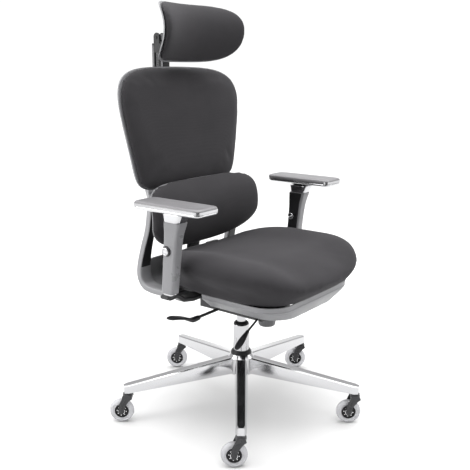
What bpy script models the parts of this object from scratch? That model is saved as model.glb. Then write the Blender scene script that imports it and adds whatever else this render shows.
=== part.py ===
"""Swivel office chair with a headrest, a separate lumbar pad, adjustable arms and a five-star base.

Metres, +Z up. The sitter faces -Y, so the sitter's right hand is at -X. The chair stands on z = 0
and its bounding box is centred on the origin, so the gas column stands at (COLUMN_X, COLUMN_Y).
All the sizes below are measured from the column's axis.
"""
import math

import bmesh
import bpy
from mathutils import Vector

# ---- driving dimensions, metres ------------------------------------------------------------
COLUMN_X = -0.0150
COLUMN_Y = -0.0145
GAP = 0.0003                 # clearance between pieces that touch
SHELL_GAP = 0.0025           # clearance between a pad and the curved shell behind it

ARM_COUNT = 5                # five-star base
ARM_FIRST_ANGLE = 19.6       # degrees from the front, towards +X
ARM_TIP_RADIUS = 0.373
ARM_TIP_BOTTOM_Z = 0.097
ARM_TIP_TOP_Z = 0.120
HUB_TOP_Z = 0.180
HUB_BOTTOM_Z = 0.118
HUB_RADIUS = 0.041
STEM_RADIUS = 0.0055
CASTER_RADIUS_AT = 0.362     # where the caster stems stand, from the column
WHEEL_RADIUS = 0.0374
WHEEL_WIDTH = 0.022
CASTER_TRAIL = 0.0188
TRAIL_DIRECTION = Vector((-0.61, 0.792, 0.0)).normalized()

TUBE_RADIUS = 0.025          # gas lift, outer tube
TUBE_TOP_Z = 0.277
PISTON_RADIUS = 0.014
PISTON_TOP_Z = 0.372

SEAT_PIVOT = (-0.110, 0.374)   # (y, z) of the seat's front pivot
BACK_PIVOT = (0.090, 0.372)    # (y, z) of the recline pivot
LUMBAR_PIVOT = (0.176, 0.640)  # (y, z) of the lumbar support's pivot
HEADREST_PIVOT = (0.324, 1.145)  # (y, z) of the headrest's tilt pivot
BOARD_BOTTOM_Z = 0.418
CUSHION_BOTTOM_Z = 0.4303
SEAT_TOP_Z = 0.544
SEAT_HALF_WIDTH = 0.276
SEAT_FRONT_Y = -0.325
SEAT_REAR_Y = 0.228

ARM_POST_X = 0.302
ARMREST_X = 0.312
ARM_LEAN = 0.098             # forward lean of the arm posts, dy per dz
SLEEVE_BOTTOM_Z = 0.455
SLEEVE_TOP_Z = 0.653
PAD_BOTTOM_Z = 0.683
PAD_TOP_Z = 0.706
PAD_LENGTH = 0.240
PAD_WIDTH = 0.087
PAD_CENTRE_Y = -0.019

BACK_BOTTOM_Z = 0.702
BACK_TOP_Z = 1.050
SHELL_REAR_LOW_Y = 0.2280     # just behind the back shell, at the cross beam
SHELL_REAR_HIGH_Y = 0.2555    # and at the headrest slide
LUMBAR_BOTTOM_Z = 0.517
LUMBAR_TOP_Z = 0.722
HEADREST_BOTTOM_Z = 1.072
HEADREST_TOP_Z = 1.240

SEAT_ORIGIN = (0.0, *SEAT_PIVOT)
BACK_ORIGIN = (0.0, *BACK_PIVOT)

FRAME = None


# ---- common tools --------------------------------------------------------------------------
def clear_scene():
    for obj in list(bpy.data.objects):
        bpy.data.objects.remove(obj, do_unlink=True)


def add_frame_empty():
    """The chair's own frame: everything is placed from the gas column's axis."""
    empty = bpy.data.objects.new("chair_frame", None)
    empty.location = (COLUMN_X, COLUMN_Y, 0.0)
    bpy.context.scene.collection.objects.link(empty)
    return empty


def material(name, colour, roughness, metallic=0.0):
    found = bpy.data.materials.get(name)
    if found:
        return found
    made = bpy.data.materials.new(name)
    made.use_nodes = True
    shader = made.node_tree.nodes["Principled BSDF"]
    shader.inputs["Base Color"].default_value = (*colour, 1.0)
    shader.inputs["Roughness"].default_value = roughness
    shader.inputs["Metallic"].default_value = metallic
    return made


def add_object(name, bm, mat, origin=(0.0, 0.0, 0.0)):
    """Make a bmesh in chair coordinates into an object whose origin is at `origin`."""
    bmesh.ops.recalc_face_normals(bm, faces=bm.faces)
    bmesh.ops.translate(bm, verts=bm.verts, vec=-Vector(origin))
    mesh = bpy.data.meshes.new(name)
    bm.to_mesh(mesh)
    bm.free()
    mesh.materials.append(mat)
    mesh.shade_smooth()
    mesh.set_sharp_from_angle(angle=math.radians(35))
    obj = bpy.data.objects.new(name, mesh)
    obj.location = origin
    obj.parent = FRAME
    bpy.context.scene.collection.objects.link(obj)
    return obj


def combine(target, tool, operation):
    """Apply an exact boolean of two objects to the first one and remove the second."""
    cut = target.modifiers.new("combine", "BOOLEAN")
    cut.operation = operation
    cut.solver = "EXACT"
    cut.object = tool
    bpy.context.view_layer.update()
    graph = bpy.context.evaluated_depsgraph_get()
    result = bpy.data.meshes.new_from_object(target.evaluated_get(graph))
    target.modifiers.remove(cut)
    target.data = result
    bpy.data.objects.remove(tool, do_unlink=True)


def fuse(target, *tools):
    for tool in tools:
        combine(target, tool, "UNION")


def carve(target, *tools):
    for tool in tools:
        combine(target, tool, "DIFFERENCE")


def loft(rings, looped=False):
    """Skin rings of equal length. Open lofts get flat caps; looped ones close on themselves."""
    bm = bmesh.new()
    made = [[bm.verts.new(p) for p in ring] for ring in rings]
    count = len(rings[0])
    pairs = list(zip(made, made[1:]))
    if looped:
        pairs.append((made[-1], made[0]))
    for low, high in pairs:
        for i in range(count):
            j = (i + 1) % count
            bm.faces.new((low[i], low[j], high[j], high[i]))
    if not looped:
        bm.faces.new(list(reversed(made[0])))
        bm.faces.new(made[-1])
    return bm


def rounded_rectangle(width, height, radius, corner_steps=3):
    """Outline of a rectangle with round corners, centred on 0, as (a, b) pairs."""
    points = []
    for quarter in range(4):
        sign_a = 1 if quarter in (0, 3) else -1
        sign_b = 1 if quarter in (0, 1) else -1
        for step in range(corner_steps + 1):
            angle = math.radians(90 * quarter + 90 * step / corner_steps)
            a = sign_a * (width / 2 - radius) + radius * math.cos(angle)
            b = sign_b * (height / 2 - radius) + radius * math.sin(angle)
            points.append((a, b))
    return points


def box(x, y, z, bevel=0.0, segments=1):
    """A box between the given (low, high) pairs, with its edges bevelled."""
    bm = bmesh.new()
    bmesh.ops.create_cube(bm, size=1.0)
    for vert in bm.verts:
        vert.co = Vector((
            x[0] + (vert.co.x + 0.5) * (x[1] - x[0]),
            y[0] + (vert.co.y + 0.5) * (y[1] - y[0]),
            z[0] + (vert.co.z + 0.5) * (z[1] - z[0]),
        ))
    if bevel:
        bmesh.ops.bevel(bm, geom=bm.edges[:], offset=bevel, segments=segments, affect="EDGES")
    return bm


def turned(profile, segments, centre, axis=(0.0, 0.0, 1.0)):
    """Turn (radius, height) points about an axis through `centre`.

    A profile whose radii never reach zero is a ring, closed on itself."""
    turn = Vector((0, 0, 1)).rotation_difference(Vector(axis)).to_matrix()
    solid = profile[0][0] == 0.0
    inner = profile[1:-1] if solid else profile
    rings = []
    for radius, height in inner:
        ring = []
        for step in range(segments):
            angle = 2 * math.pi * step / segments
            local = Vector((radius * math.cos(angle), radius * math.sin(angle), height))
            ring.append(Vector(centre) + turn @ local)
        rings.append(ring)
    return loft(rings, looped=not solid)


def rod(start, end, radius, segments=12):
    """A round bar between two points."""
    start, end = Vector(start), Vector(end)
    length = (end - start).length
    profile = [(0.0, 0.0), (radius, 0.0), (radius, length), (0.0, length)]
    return turned(profile, segments, start, (end - start).normalized())


def swept(path, sections, side):
    """Sweep 2D sections along a path. `side` is the direction of each section's first axis."""
    rings = []
    side = Vector(side).normalized()
    for i, point in enumerate(path):
        before = path[max(i - 1, 0)]
        after = path[min(i + 1, len(path) - 1)]
        along = (Vector(after) - Vector(before)).normalized()
        across = along.cross(side).normalized()
        rings.append([Vector(point) + side * a + across * b for a, b in sections[i]])
    return loft(rings)


def pillow(outline, sheet, front, back, segments=36, rings=(0.0, 0.4, 0.7, 0.88, 0.97, 1.0)):
    """A closed pad on a curved sheet that faces forward.

    outline(angle) gives the rim in the sheet's own (s, t) plane, sheet(s, t) its place in
    space, and front(r) and back(r) how far each face stands off it at r of the way out."""
    normal = Vector((0, -1, 0))
    bm = bmesh.new()
    faces = []
    for rise, sign in ((front, 1.0), (back, -1.0)):
        made = []
        for r in rings:
            ring = []
            for step in range(segments if r else 1):
                s, t = outline(2 * math.pi * step / segments)
                point = sheet(s * r, t * r) + normal * (sign * rise(r))
                ring.append(bm.verts.new(point))
            made.append(ring)
        faces.append(made)
        for inner, outer in zip(made, made[1:]):
            for i in range(segments):
                j = (i + 1) % segments
                if len(inner) == 1:
                    bm.faces.new((inner[0], outer[i], outer[j]))
                else:
                    bm.faces.new((inner[i], outer[i], outer[j], inner[j]))
    front_rim, back_rim = faces[0][-1], faces[1][-1]
    for i in range(segments):
        j = (i + 1) % segments
        bm.faces.new((front_rim[i], back_rim[i], back_rim[j], front_rim[j]))
    return bm


def superellipse(half_width, half_height, power):
    """A rim function for pillow: a rounded rectangle without straight sides."""
    def rim(angle):
        c, s = math.cos(angle), math.sin(angle)
        reach = (abs(c) ** power + abs(s) ** power) ** (-1.0 / power)
        return half_width * c * reach, half_height * s * reach
    return rim


def domed(height, edge, power=4.0):
    """Stand-off of a padded face: `height` in the middle, `edge` at the rim."""
    def rise(r):
        return edge + (height - edge) * (1.0 - r ** power) ** (1.0 / 2.2)
    return rise


def mix(low, high, amount):
    return low + (high - low) * amount


def smooth_step(value):
    value = min(max(value, 0.0), 1.0)
    return value * value * (3.0 - 2.0 * value)


# ---- materials -----------------------------------------------------------------------------
def make_materials():
    return {
        "polished": material("polished_aluminium", (0.86, 0.86, 0.87), 0.12, 1.0),
        "chrome": material("chrome", (0.80, 0.80, 0.81), 0.06, 1.0),
        "black": material("black_plastic", (0.015, 0.015, 0.016), 0.40),
        "grey": material("grey_plastic", (0.26, 0.26, 0.27), 0.38),
        "charcoal": material("charcoal_plastic", (0.05, 0.05, 0.052), 0.34),
        "steel": material("black_steel", (0.03, 0.03, 0.03), 0.45, 0.6),
        "spring": material("spring_steel", (0.35, 0.35, 0.36), 0.35, 1.0),
        "tyre": material("clear_tyre", (0.62, 0.62, 0.63), 0.18),
        "fabric": material("seat_fabric", (0.060, 0.058, 0.062), 0.95),
        "soft": material("armrest_foam", (0.22, 0.22, 0.23), 0.55),
    }


# ---- base ----------------------------------------------------------------------------------
def arm_direction(index):
    angle = math.radians(ARM_FIRST_ANGLE + 360.0 / ARM_COUNT * index)
    return Vector((math.sin(angle), -math.cos(angle), 0.0))


def arm_section(direction, reach, bottom, top, width_bottom, width_top):
    side = Vector((-direction.y, direction.x, 0.0))
    centre = direction * reach
    chamfer = 0.003
    outline = [
        (-width_bottom / 2, bottom), (width_bottom / 2, bottom),
        (width_top / 2, top - chamfer), (width_top / 2 - chamfer, top),
        (-width_top / 2 + chamfer, top), (-width_top / 2, top - chamfer),
    ]
    return [centre + side * a + Vector((0, 0, b)) for a, b in outline]


def build_base(mats):
    hub = turned(
        [(0.0, HUB_BOTTOM_Z), (HUB_RADIUS, HUB_BOTTOM_Z), (HUB_RADIUS, HUB_TOP_Z - 0.010),
         (HUB_RADIUS - 0.008, HUB_TOP_Z), (0.0, HUB_TOP_Z)], 30, (0, 0, 0))
    base = add_object("star_base", hub, mats["polished"])
    for index in range(ARM_COUNT):
        direction = arm_direction(index)
        arm = loft([
            arm_section(direction, 0.012, HUB_BOTTOM_Z + 0.004, HUB_TOP_Z - 0.006, 0.042, 0.032),
            arm_section(direction, ARM_TIP_RADIUS - 0.012, ARM_TIP_BOTTOM_Z, ARM_TIP_TOP_Z + 0.002,
                        0.030, 0.027),
            arm_section(direction, ARM_TIP_RADIUS, ARM_TIP_BOTTOM_Z, ARM_TIP_TOP_Z, 0.020, 0.018),
        ])
        fuse(base, add_object("arm", arm, mats["polished"]))
    for index in range(ARM_COUNT):
        direction = arm_direction(index)
        channel = loft([
            arm_section(direction, HUB_RADIUS + 0.012, HUB_BOTTOM_Z - 0.010, 0.160, 0.030, 0.018),
            arm_section(direction, CASTER_RADIUS_AT - 0.022, ARM_TIP_BOTTOM_Z - 0.010, 0.114,
                        0.020, 0.014),
        ])
        stem = direction * CASTER_RADIUS_AT
        bore = rod(stem + Vector((0, 0, 0.080)), stem + Vector((0, 0, 0.114)),
                   STEM_RADIUS + GAP, 10)
        carve(base, add_object("channel", channel, mats["polished"]),
              add_object("bore", bore, mats["polished"]))
    column_bore = rod((0, 0, 0.08), (0, 0, 0.20), TUBE_RADIUS + GAP, 24)
    carve(base, add_object("column_bore", column_bore, mats["polished"]))


def build_column(mats):
    cap = turned([
        (TUBE_RADIUS + 2 * GAP, HUB_TOP_Z + GAP), (0.0325, HUB_TOP_Z + GAP),
        (0.0325, HUB_TOP_Z + 0.004), (0.0275, HUB_TOP_Z + 0.012),
        (TUBE_RADIUS + 2 * GAP, HUB_TOP_Z + 0.012)], 24, (0, 0, 0))
    add_object("hub_cap", cap, mats["black"])
    tube = turned([
        (PISTON_RADIUS + 0.0015, 0.122), (TUBE_RADIUS, 0.122), (TUBE_RADIUS, TUBE_TOP_Z - 0.002),
        (TUBE_RADIUS - 0.002, TUBE_TOP_Z), (PISTON_RADIUS + 0.0015, TUBE_TOP_Z)], 24, (0, 0, 0))
    add_object("column_tube", tube, mats["chrome"])
    low = TUBE_TOP_Z + GAP
    bush = turned([
        (PISTON_RADIUS + GAP, low), (0.0215, low), (0.0235, low + 0.003), (0.0215, low + 0.008),
        (PISTON_RADIUS + GAP, low + 0.008)], 24, (0, 0, 0))
    add_object("column_bush", bush, mats["black"])
    piston = rod((0, 0, 0.145), (0, 0, PISTON_TOP_Z), PISTON_RADIUS, 20)
    add_object("piston_rod", piston, mats["chrome"])


# ---- casters -------------------------------------------------------------------------------
def fork_plate(stem, axle_dir, offset, thickness):
    """One leg of a fork, cut from plate: broad at the neck, round at the axle."""
    trail = TRAIL_DIRECTION
    hub = CASTER_TRAIL
    outline = [
        (-0.012, 0.0905), (0.0125, 0.0905), (0.0165, 0.080), (0.0255, 0.060),
        (0.0275, 0.038), (hub + 0.0045, 0.0295), (hub - 0.0045, 0.0295), (0.0105, 0.038),
        (0.0065, 0.056), (-0.006, 0.073), (-0.0155, 0.0805)]
    rings = []
    for side in (offset, offset + thickness):
        rings.append([stem + trail * a + axle_dir * side + Vector((0, 0, b)) for a, b in outline])
    return loft(rings)


def build_caster(index, mats):
    stem = arm_direction(index) * CASTER_RADIUS_AT
    axle_dir = TRAIL_DIRECTION.cross(Vector((0, 0, 1)))
    wheel = stem + TRAIL_DIRECTION * CASTER_TRAIL + Vector((0, 0, WHEEL_RADIUS))
    name = "_" + str(index + 1)

    leg_inner, leg_thick = WHEEL_WIDTH / 2 + 0.0025, 0.004
    fork = add_object("caster_fork" + name, fork_plate(stem, axle_dir, leg_inner, leg_thick),
                      mats["charcoal"], stem)
    other = add_object("leg", fork_plate(stem, axle_dir, -leg_inner - leg_thick, leg_thick),
                       mats["charcoal"])
    bridge = turned([
        (0.0, 0.0785), (0.0145, 0.0785), (0.0155, 0.0865), (0.0135, 0.0950), (0.0, 0.0950)],
        14, stem)
    post = rod(stem + Vector((0, 0, 0.090)), stem + Vector((0, 0, 0.1125)), STEM_RADIUS, 10)
    reach = axle_dir * (leg_inner + leg_thick / 2)
    axle = rod(wheel - reach, wheel + reach, 0.0040, 10)
    fuse(fork, other, add_object("bridge", bridge, mats["charcoal"]),
         add_object("stem", post, mats["charcoal"]), add_object("axle", axle, mats["charcoal"]))

    hub_radius = 0.0215
    half = WHEEL_WIDTH / 2
    hub = turned([
        (0.0043, -half), (0.009, -half), (0.010, -half + 0.003), (hub_radius - 0.003, -half + 0.004),
        (hub_radius, -half + 0.003), (hub_radius, half - 0.003), (hub_radius - 0.003, half - 0.004),
        (0.010, half - 0.003), (0.009, half), (0.0043, half)], 14, wheel, axle_dir)
    add_object("caster_hub" + name, hub, mats["black"], wheel)
    inner = hub_radius + GAP
    tyre = turned([
        (inner, -half + 0.002), (inner + 0.006, -half), (WHEEL_RADIUS - 0.004, -half + 0.004),
        (WHEEL_RADIUS, -0.002), (WHEEL_RADIUS, 0.002), (WHEEL_RADIUS - 0.004, half - 0.004),
        (inner + 0.006, half), (inner, half - 0.002)], 28, wheel, axle_dir)
    add_object("caster_tyre" + name, tyre, mats["tyre"], wheel)


# ---- tilt mechanism ------------------------------------------------------------------------
HOUSING_HALF_WIDTH = 0.075
HOUSING_WALL = 0.005
HOUSING_BOTTOM_Z = 0.332
HOUSING_TOP_Z = 0.386
HOUSING_FRONT_Y = -0.132
HOUSING_REAR_Y = 0.104
KNOB_Y = -0.098
KNOB_BOTTOM_Z = 0.294
HEIGHT_LEVER_Z = 0.354
LOCK_LEVER = (-0.115, 0.338)   # (y, z) where the lever enters the housing
PIN_RADIUS = 0.005


def build_housing(mats):
    half = HOUSING_HALF_WIDTH
    inner = half - HOUSING_WALL
    housing = add_object("tilt_housing", box(
        (-half, half), (HOUSING_FRONT_Y, HOUSING_REAR_Y), (HOUSING_BOTTOM_Z, HOUSING_TOP_Z)),
        mats["steel"])
    inside = box((-inner, inner), (HOUSING_FRONT_Y + HOUSING_WALL, HOUSING_REAR_Y + 0.02),
                 (HOUSING_BOTTOM_Z + HOUSING_WALL, HOUSING_TOP_Z + 0.02))
    carve(housing, add_object("inside", inside, mats["steel"]))
    boss = rod((0, 0, HOUSING_BOTTOM_Z + 0.001), (0, 0, 0.369), 0.021, 20)
    fuse(housing, add_object("boss", boss, mats["steel"]))
    socket = rod((0, 0, 0.30), (0, 0, 0.40), PISTON_RADIUS + GAP, 20)
    reach = half + 0.02
    cutters = [socket]
    for y, z in (SEAT_PIVOT, BACK_PIVOT):
        cutters.append(rod((-reach, y, z), (reach, y, z), PIN_RADIUS + GAP, 12))
    cutters.append(rod((0, KNOB_Y, 0.32), (0, KNOB_Y, 0.36), 0.0058, 12))
    cutters.append(box((-0.09, -0.06), (-0.0075, 0.0075),
                       (HEIGHT_LEVER_Z - 0.0085, HEIGHT_LEVER_Z + 0.0085)))
    y, z = LOCK_LEVER
    cutters.append(box((-0.09, -0.055), (y - 0.0065, y + 0.0065), (z - 0.0070, z + 0.0140)))
    for cutter in cutters:
        carve(housing, add_object("cutter", cutter, mats["steel"]))

    for name, (y, z), length in (("seat_pivot_pin", SEAT_PIVOT, half + 0.009),
                                 ("recline_pin", BACK_PIVOT, half + 0.003)):
        pin = rod((-length, y, z), (length, y, z), PIN_RADIUS, 12)
        add_object(name, pin, mats["spring"], (0, y, z))


def build_tension_knob(mats):
    """A big round knob on a screw; turning it winds up the coil spring around the screw."""
    bottom, top = KNOB_BOTTOM_Z, KNOB_BOTTOM_Z + 0.030
    knob = add_object("tension_knob", turned([
        (0.0, bottom), (0.0225, bottom), (0.0255, bottom + 0.003), (0.0285, top - 0.003),
        (0.0265, top), (0.0, top)], 24, (0, KNOB_Y, 0)), mats["grey"], (0, KNOB_Y, bottom))
    screw = rod((0, KNOB_Y, top - 0.004), (0, KNOB_Y, 0.364), 0.0050, 12)
    fuse(knob, add_object("screw", screw, mats["grey"]))

    turns, steps, wire, coil = 4, 8, 0.0014, 0.0095
    low, high = HOUSING_BOTTOM_Z + HOUSING_WALL + wire + GAP, 0.3615
    rings = []
    for step in range(turns * steps + 1):
        angle = 2 * math.pi * step / steps
        along = step / (turns * steps)
        out = Vector((math.cos(angle), math.sin(angle), 0.0))
        centre = Vector((0.0, KNOB_Y, mix(low, high, along))) + out * coil
        ring = []
        for corner in range(5):
            turn = 2 * math.pi * corner / 5
            lift = Vector((0, 0, wire * math.sin(turn)))
            ring.append(centre + out * (wire * math.cos(turn)) + lift)
        rings.append(ring)
    add_object("tension_spring", loft(rings), mats["spring"])


def build_levers(mats):
    """Height lever on the sitter's right, and the tilt lock lever in front of it."""
    z = HEIGHT_LEVER_Z
    pivot = (-0.068, 0.0, z)
    bar = rod((-0.050, 0, z), (-0.208, 0, z), 0.0045, 10)
    add_object("height_lever_rod", bar, mats["steel"], pivot)
    path = [(-0.200, 0, z - 0.001), (-0.226, 0, z - 0.001), (-0.240, 0, z + 0.003),
            (-0.268, 0, z + 0.016), (-0.300, 0, z + 0.026), (-0.328, 0, z + 0.030)]
    widths = (0.015, 0.018, 0.020, 0.030, 0.036, 0.022)
    heights = (0.013, 0.014, 0.011, 0.009, 0.008, 0.006)
    sections = [rounded_rectangle(w, h, h * 0.42, 2) for w, h in zip(widths, heights)]
    grip = add_object("height_lever_grip", swept(path, sections, (0, 1, 0)), mats["black"], pivot)
    hole = rod((-0.190, 0, z), (-0.2084, 0, z), 0.0045 + GAP, 10)
    carve(grip, add_object("hole", hole, mats["black"]))

    y, z = LOCK_LEVER
    pivot = (-0.068, y, z)
    bar = rod((-0.056, y, z + 0.006), (-0.127, y, z - 0.0290), 0.0032, 8)
    add_object("lock_lever_rod", bar, mats["steel"], pivot)
    start = Vector((-0.117, y, z - 0.0240))
    along = Vector((-0.058, 0.0, -0.0400)).normalized()
    stops = (0.0, 0.010, 0.026, 0.046, 0.062, 0.070)
    widths = (0.009, 0.011, 0.018, 0.022, 0.018, 0.009)
    heights = (0.008, 0.010, 0.010, 0.008, 0.006, 0.004)
    path = [start + along * stop for stop in stops]
    sections = [rounded_rectangle(w, h, h * 0.42, 2) for w, h in zip(widths, heights)]
    grip = add_object("lock_lever_grip", swept(path, sections, (0, 1, 0)), mats["black"], pivot)
    hole = rod((-0.100, y, z + 0.006 - 0.0350 * 44 / 71), (-0.1275, y, z - 0.0292), 0.0032 + GAP, 8)
    carve(grip, add_object("hole", hole, mats["black"]))


# ---- seat ----------------------------------------------------------------------------------
def seat_plan(angle, lower):
    """Plan of the cushion as (x, y): broad at the front, drawn in at the rear.

    `lower` runs from 0 at the widest level to 1 at the seam on the seat pan."""
    s, t = superellipse(1.0, 1.0, mix(3.5, 4.4, lower))(angle)
    front_y = mix(SEAT_FRONT_Y, -0.2840, lower)
    rear_y = mix(SEAT_REAR_Y, 0.2050, lower)
    half_width = mix(SEAT_HALF_WIDTH, 0.2240, lower)
    draw_in = 1.0 - 0.29 * max(t + 0.1, 0.0) ** 1.7 - 0.04 * max(-t, 0.0) ** 3
    return s * draw_in * half_width, (front_y + rear_y) / 2 + t * (rear_y - front_y) / 2


def build_seat(mats):
    board_outline = [(-0.185, -0.215), (-0.150, -0.250), (0.150, -0.250), (0.185, -0.215),
                     (0.185, 0.070), (0.150, 0.180), (-0.150, 0.180), (-0.185, 0.070)]
    board_levels = (BOARD_BOTTOM_Z, CUSHION_BOTTOM_Z - GAP)
    board = add_object("seat_board", loft(
        [[Vector((x, y, z)) for x, y in board_outline] for z in board_levels]),
        mats["black"], SEAT_ORIGIN)
    for side in (-1, 1):
        inner, outer = HOUSING_HALF_WIDTH + GAP * 2, HOUSING_HALF_WIDTH + 0.0075
        x = sorted((side * inner, side * outer))
        lug = box(x, (SEAT_PIVOT[0] - 0.014, SEAT_PIVOT[0] + 0.014),
                  (SEAT_PIVOT[1] - 0.012, BOARD_BOTTOM_Z + 0.004))
        fuse(board, add_object("lug", lug, mats["black"]))
    y, z = SEAT_PIVOT
    bore = rod((-0.1, y, z), (0.1, y, z), PIN_RADIUS + GAP, 12)
    carve(board, add_object("bore", bore, mats["black"]))

    middle_y = (SEAT_FRONT_Y + SEAT_REAR_Y) / 2
    half_depth = (SEAT_REAR_Y - SEAT_FRONT_Y) / 2

    def crown(x, y):
        """Height of the cushion's face over its bottom: side bolsters and a rolled-over front."""
        across = min(abs(x) / SEAT_HALF_WIDTH, 1.0)
        along = (y - middle_y) / half_depth
        bolster = 0.020 * math.exp(-((across - 0.78) / 0.26) ** 2)
        front_roll = 0.034 * (max(-along - 0.45, 0.0) / 0.55) ** 1.6
        rear_drop = 0.044 * max(along - 0.1, 0.0) ** 1.5
        return SEAT_TOP_Z - 0.018 - CUSHION_BOTTOM_Z + bolster - front_roll - rear_drop

    bm = bmesh.new()
    segments = 36
    levels = (   # reach from the middle, share of the height, how far the side has drawn in
        (0.0, 1.0, 0.0), (0.35, 1.0, 0.0), (0.62, 1.0, 0.0), (0.80, 0.995, 0.0), (0.905, 0.955, 0.0),
        (0.965, 0.86, 0.0), (1.0, 0.64, 0.0), (1.0, 0.42, 0.28), (1.0, 0.18, 0.72), (1.0, 0.03, 0.98),
        (0.98, 0.0, 1.0), (0.5, 0.0, 1.0), (0.0, 0.0, 1.0))
    rings = []
    for reach, height, lower in levels:
        ring = []
        for step in range(segments if reach else 1):
            x, y = seat_plan(2 * math.pi * step / segments, lower)
            x, y = x * reach, middle_y + (y - middle_y) * reach
            ring.append(bm.verts.new((x, y, CUSHION_BOTTOM_Z + crown(x, y) * height)))
        rings.append(ring)
    for inner, outer in zip(rings, rings[1:]):
        for i in range(segments):
            j = (i + 1) % segments
            if len(inner) == 1:
                bm.faces.new((inner[0], outer[i], outer[j]))
            elif len(outer) == 1:
                bm.faces.new((inner[i], inner[j], outer[0]))
            else:
                bm.faces.new((inner[i], outer[i], outer[j], inner[j]))
    add_object("seat_cushion", bm, mats["fabric"], SEAT_ORIGIN)


def build_seat_pan(mats):
    """A moulded apron under the front half of the cushion, open at the rear for the mechanism."""
    levels = (   # half width, front y, z
        (0.2130, -0.276, CUSHION_BOTTOM_Z - GAP),
        (0.1930, -0.276, 0.405),
        (0.1580, -0.256, 0.377),
    )
    wall = 0.004
    rear_y = -0.022

    def plan(half_width, front_y, shrink, end_y):
        radius = 0.075
        half = half_width - shrink
        front = front_y + shrink
        points = [(-half, end_y)]
        for step in range(6):
            angle = math.radians(180 + 90 * step / 5)
            points.append((-half + radius + radius * math.cos(angle),
                           front + radius + radius * math.sin(angle)))
        for step in range(6):
            angle = math.radians(270 + 90 * step / 5)
            points.append((half - radius + radius * math.cos(angle),
                           front + radius + radius * math.sin(angle)))
        points.append((half, end_y))
        return points

    stations = []
    for shrink, order in ((0.0, levels), (wall, tuple(reversed(levels)))):
        for half_width, front_y, z in order:
            end_y = rear_y + 0.012 * (CUSHION_BOTTOM_Z - z) / 0.05
            stations.append([Vector((x, y, z)) for x, y in plan(half_width, front_y, shrink, end_y)])
    rings = [list(ring) for ring in zip(*stations)]
    add_object("seat_pan", loft(rings), mats["grey"], SEAT_ORIGIN)


# ---- arms ----------------------------------------------------------------------------------
def post_y(z):
    """Centre of an arm post at height z; the posts lean forward."""
    return 0.014 - ARM_LEAN * (z - SLEEVE_BOTTOM_Z)


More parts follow.
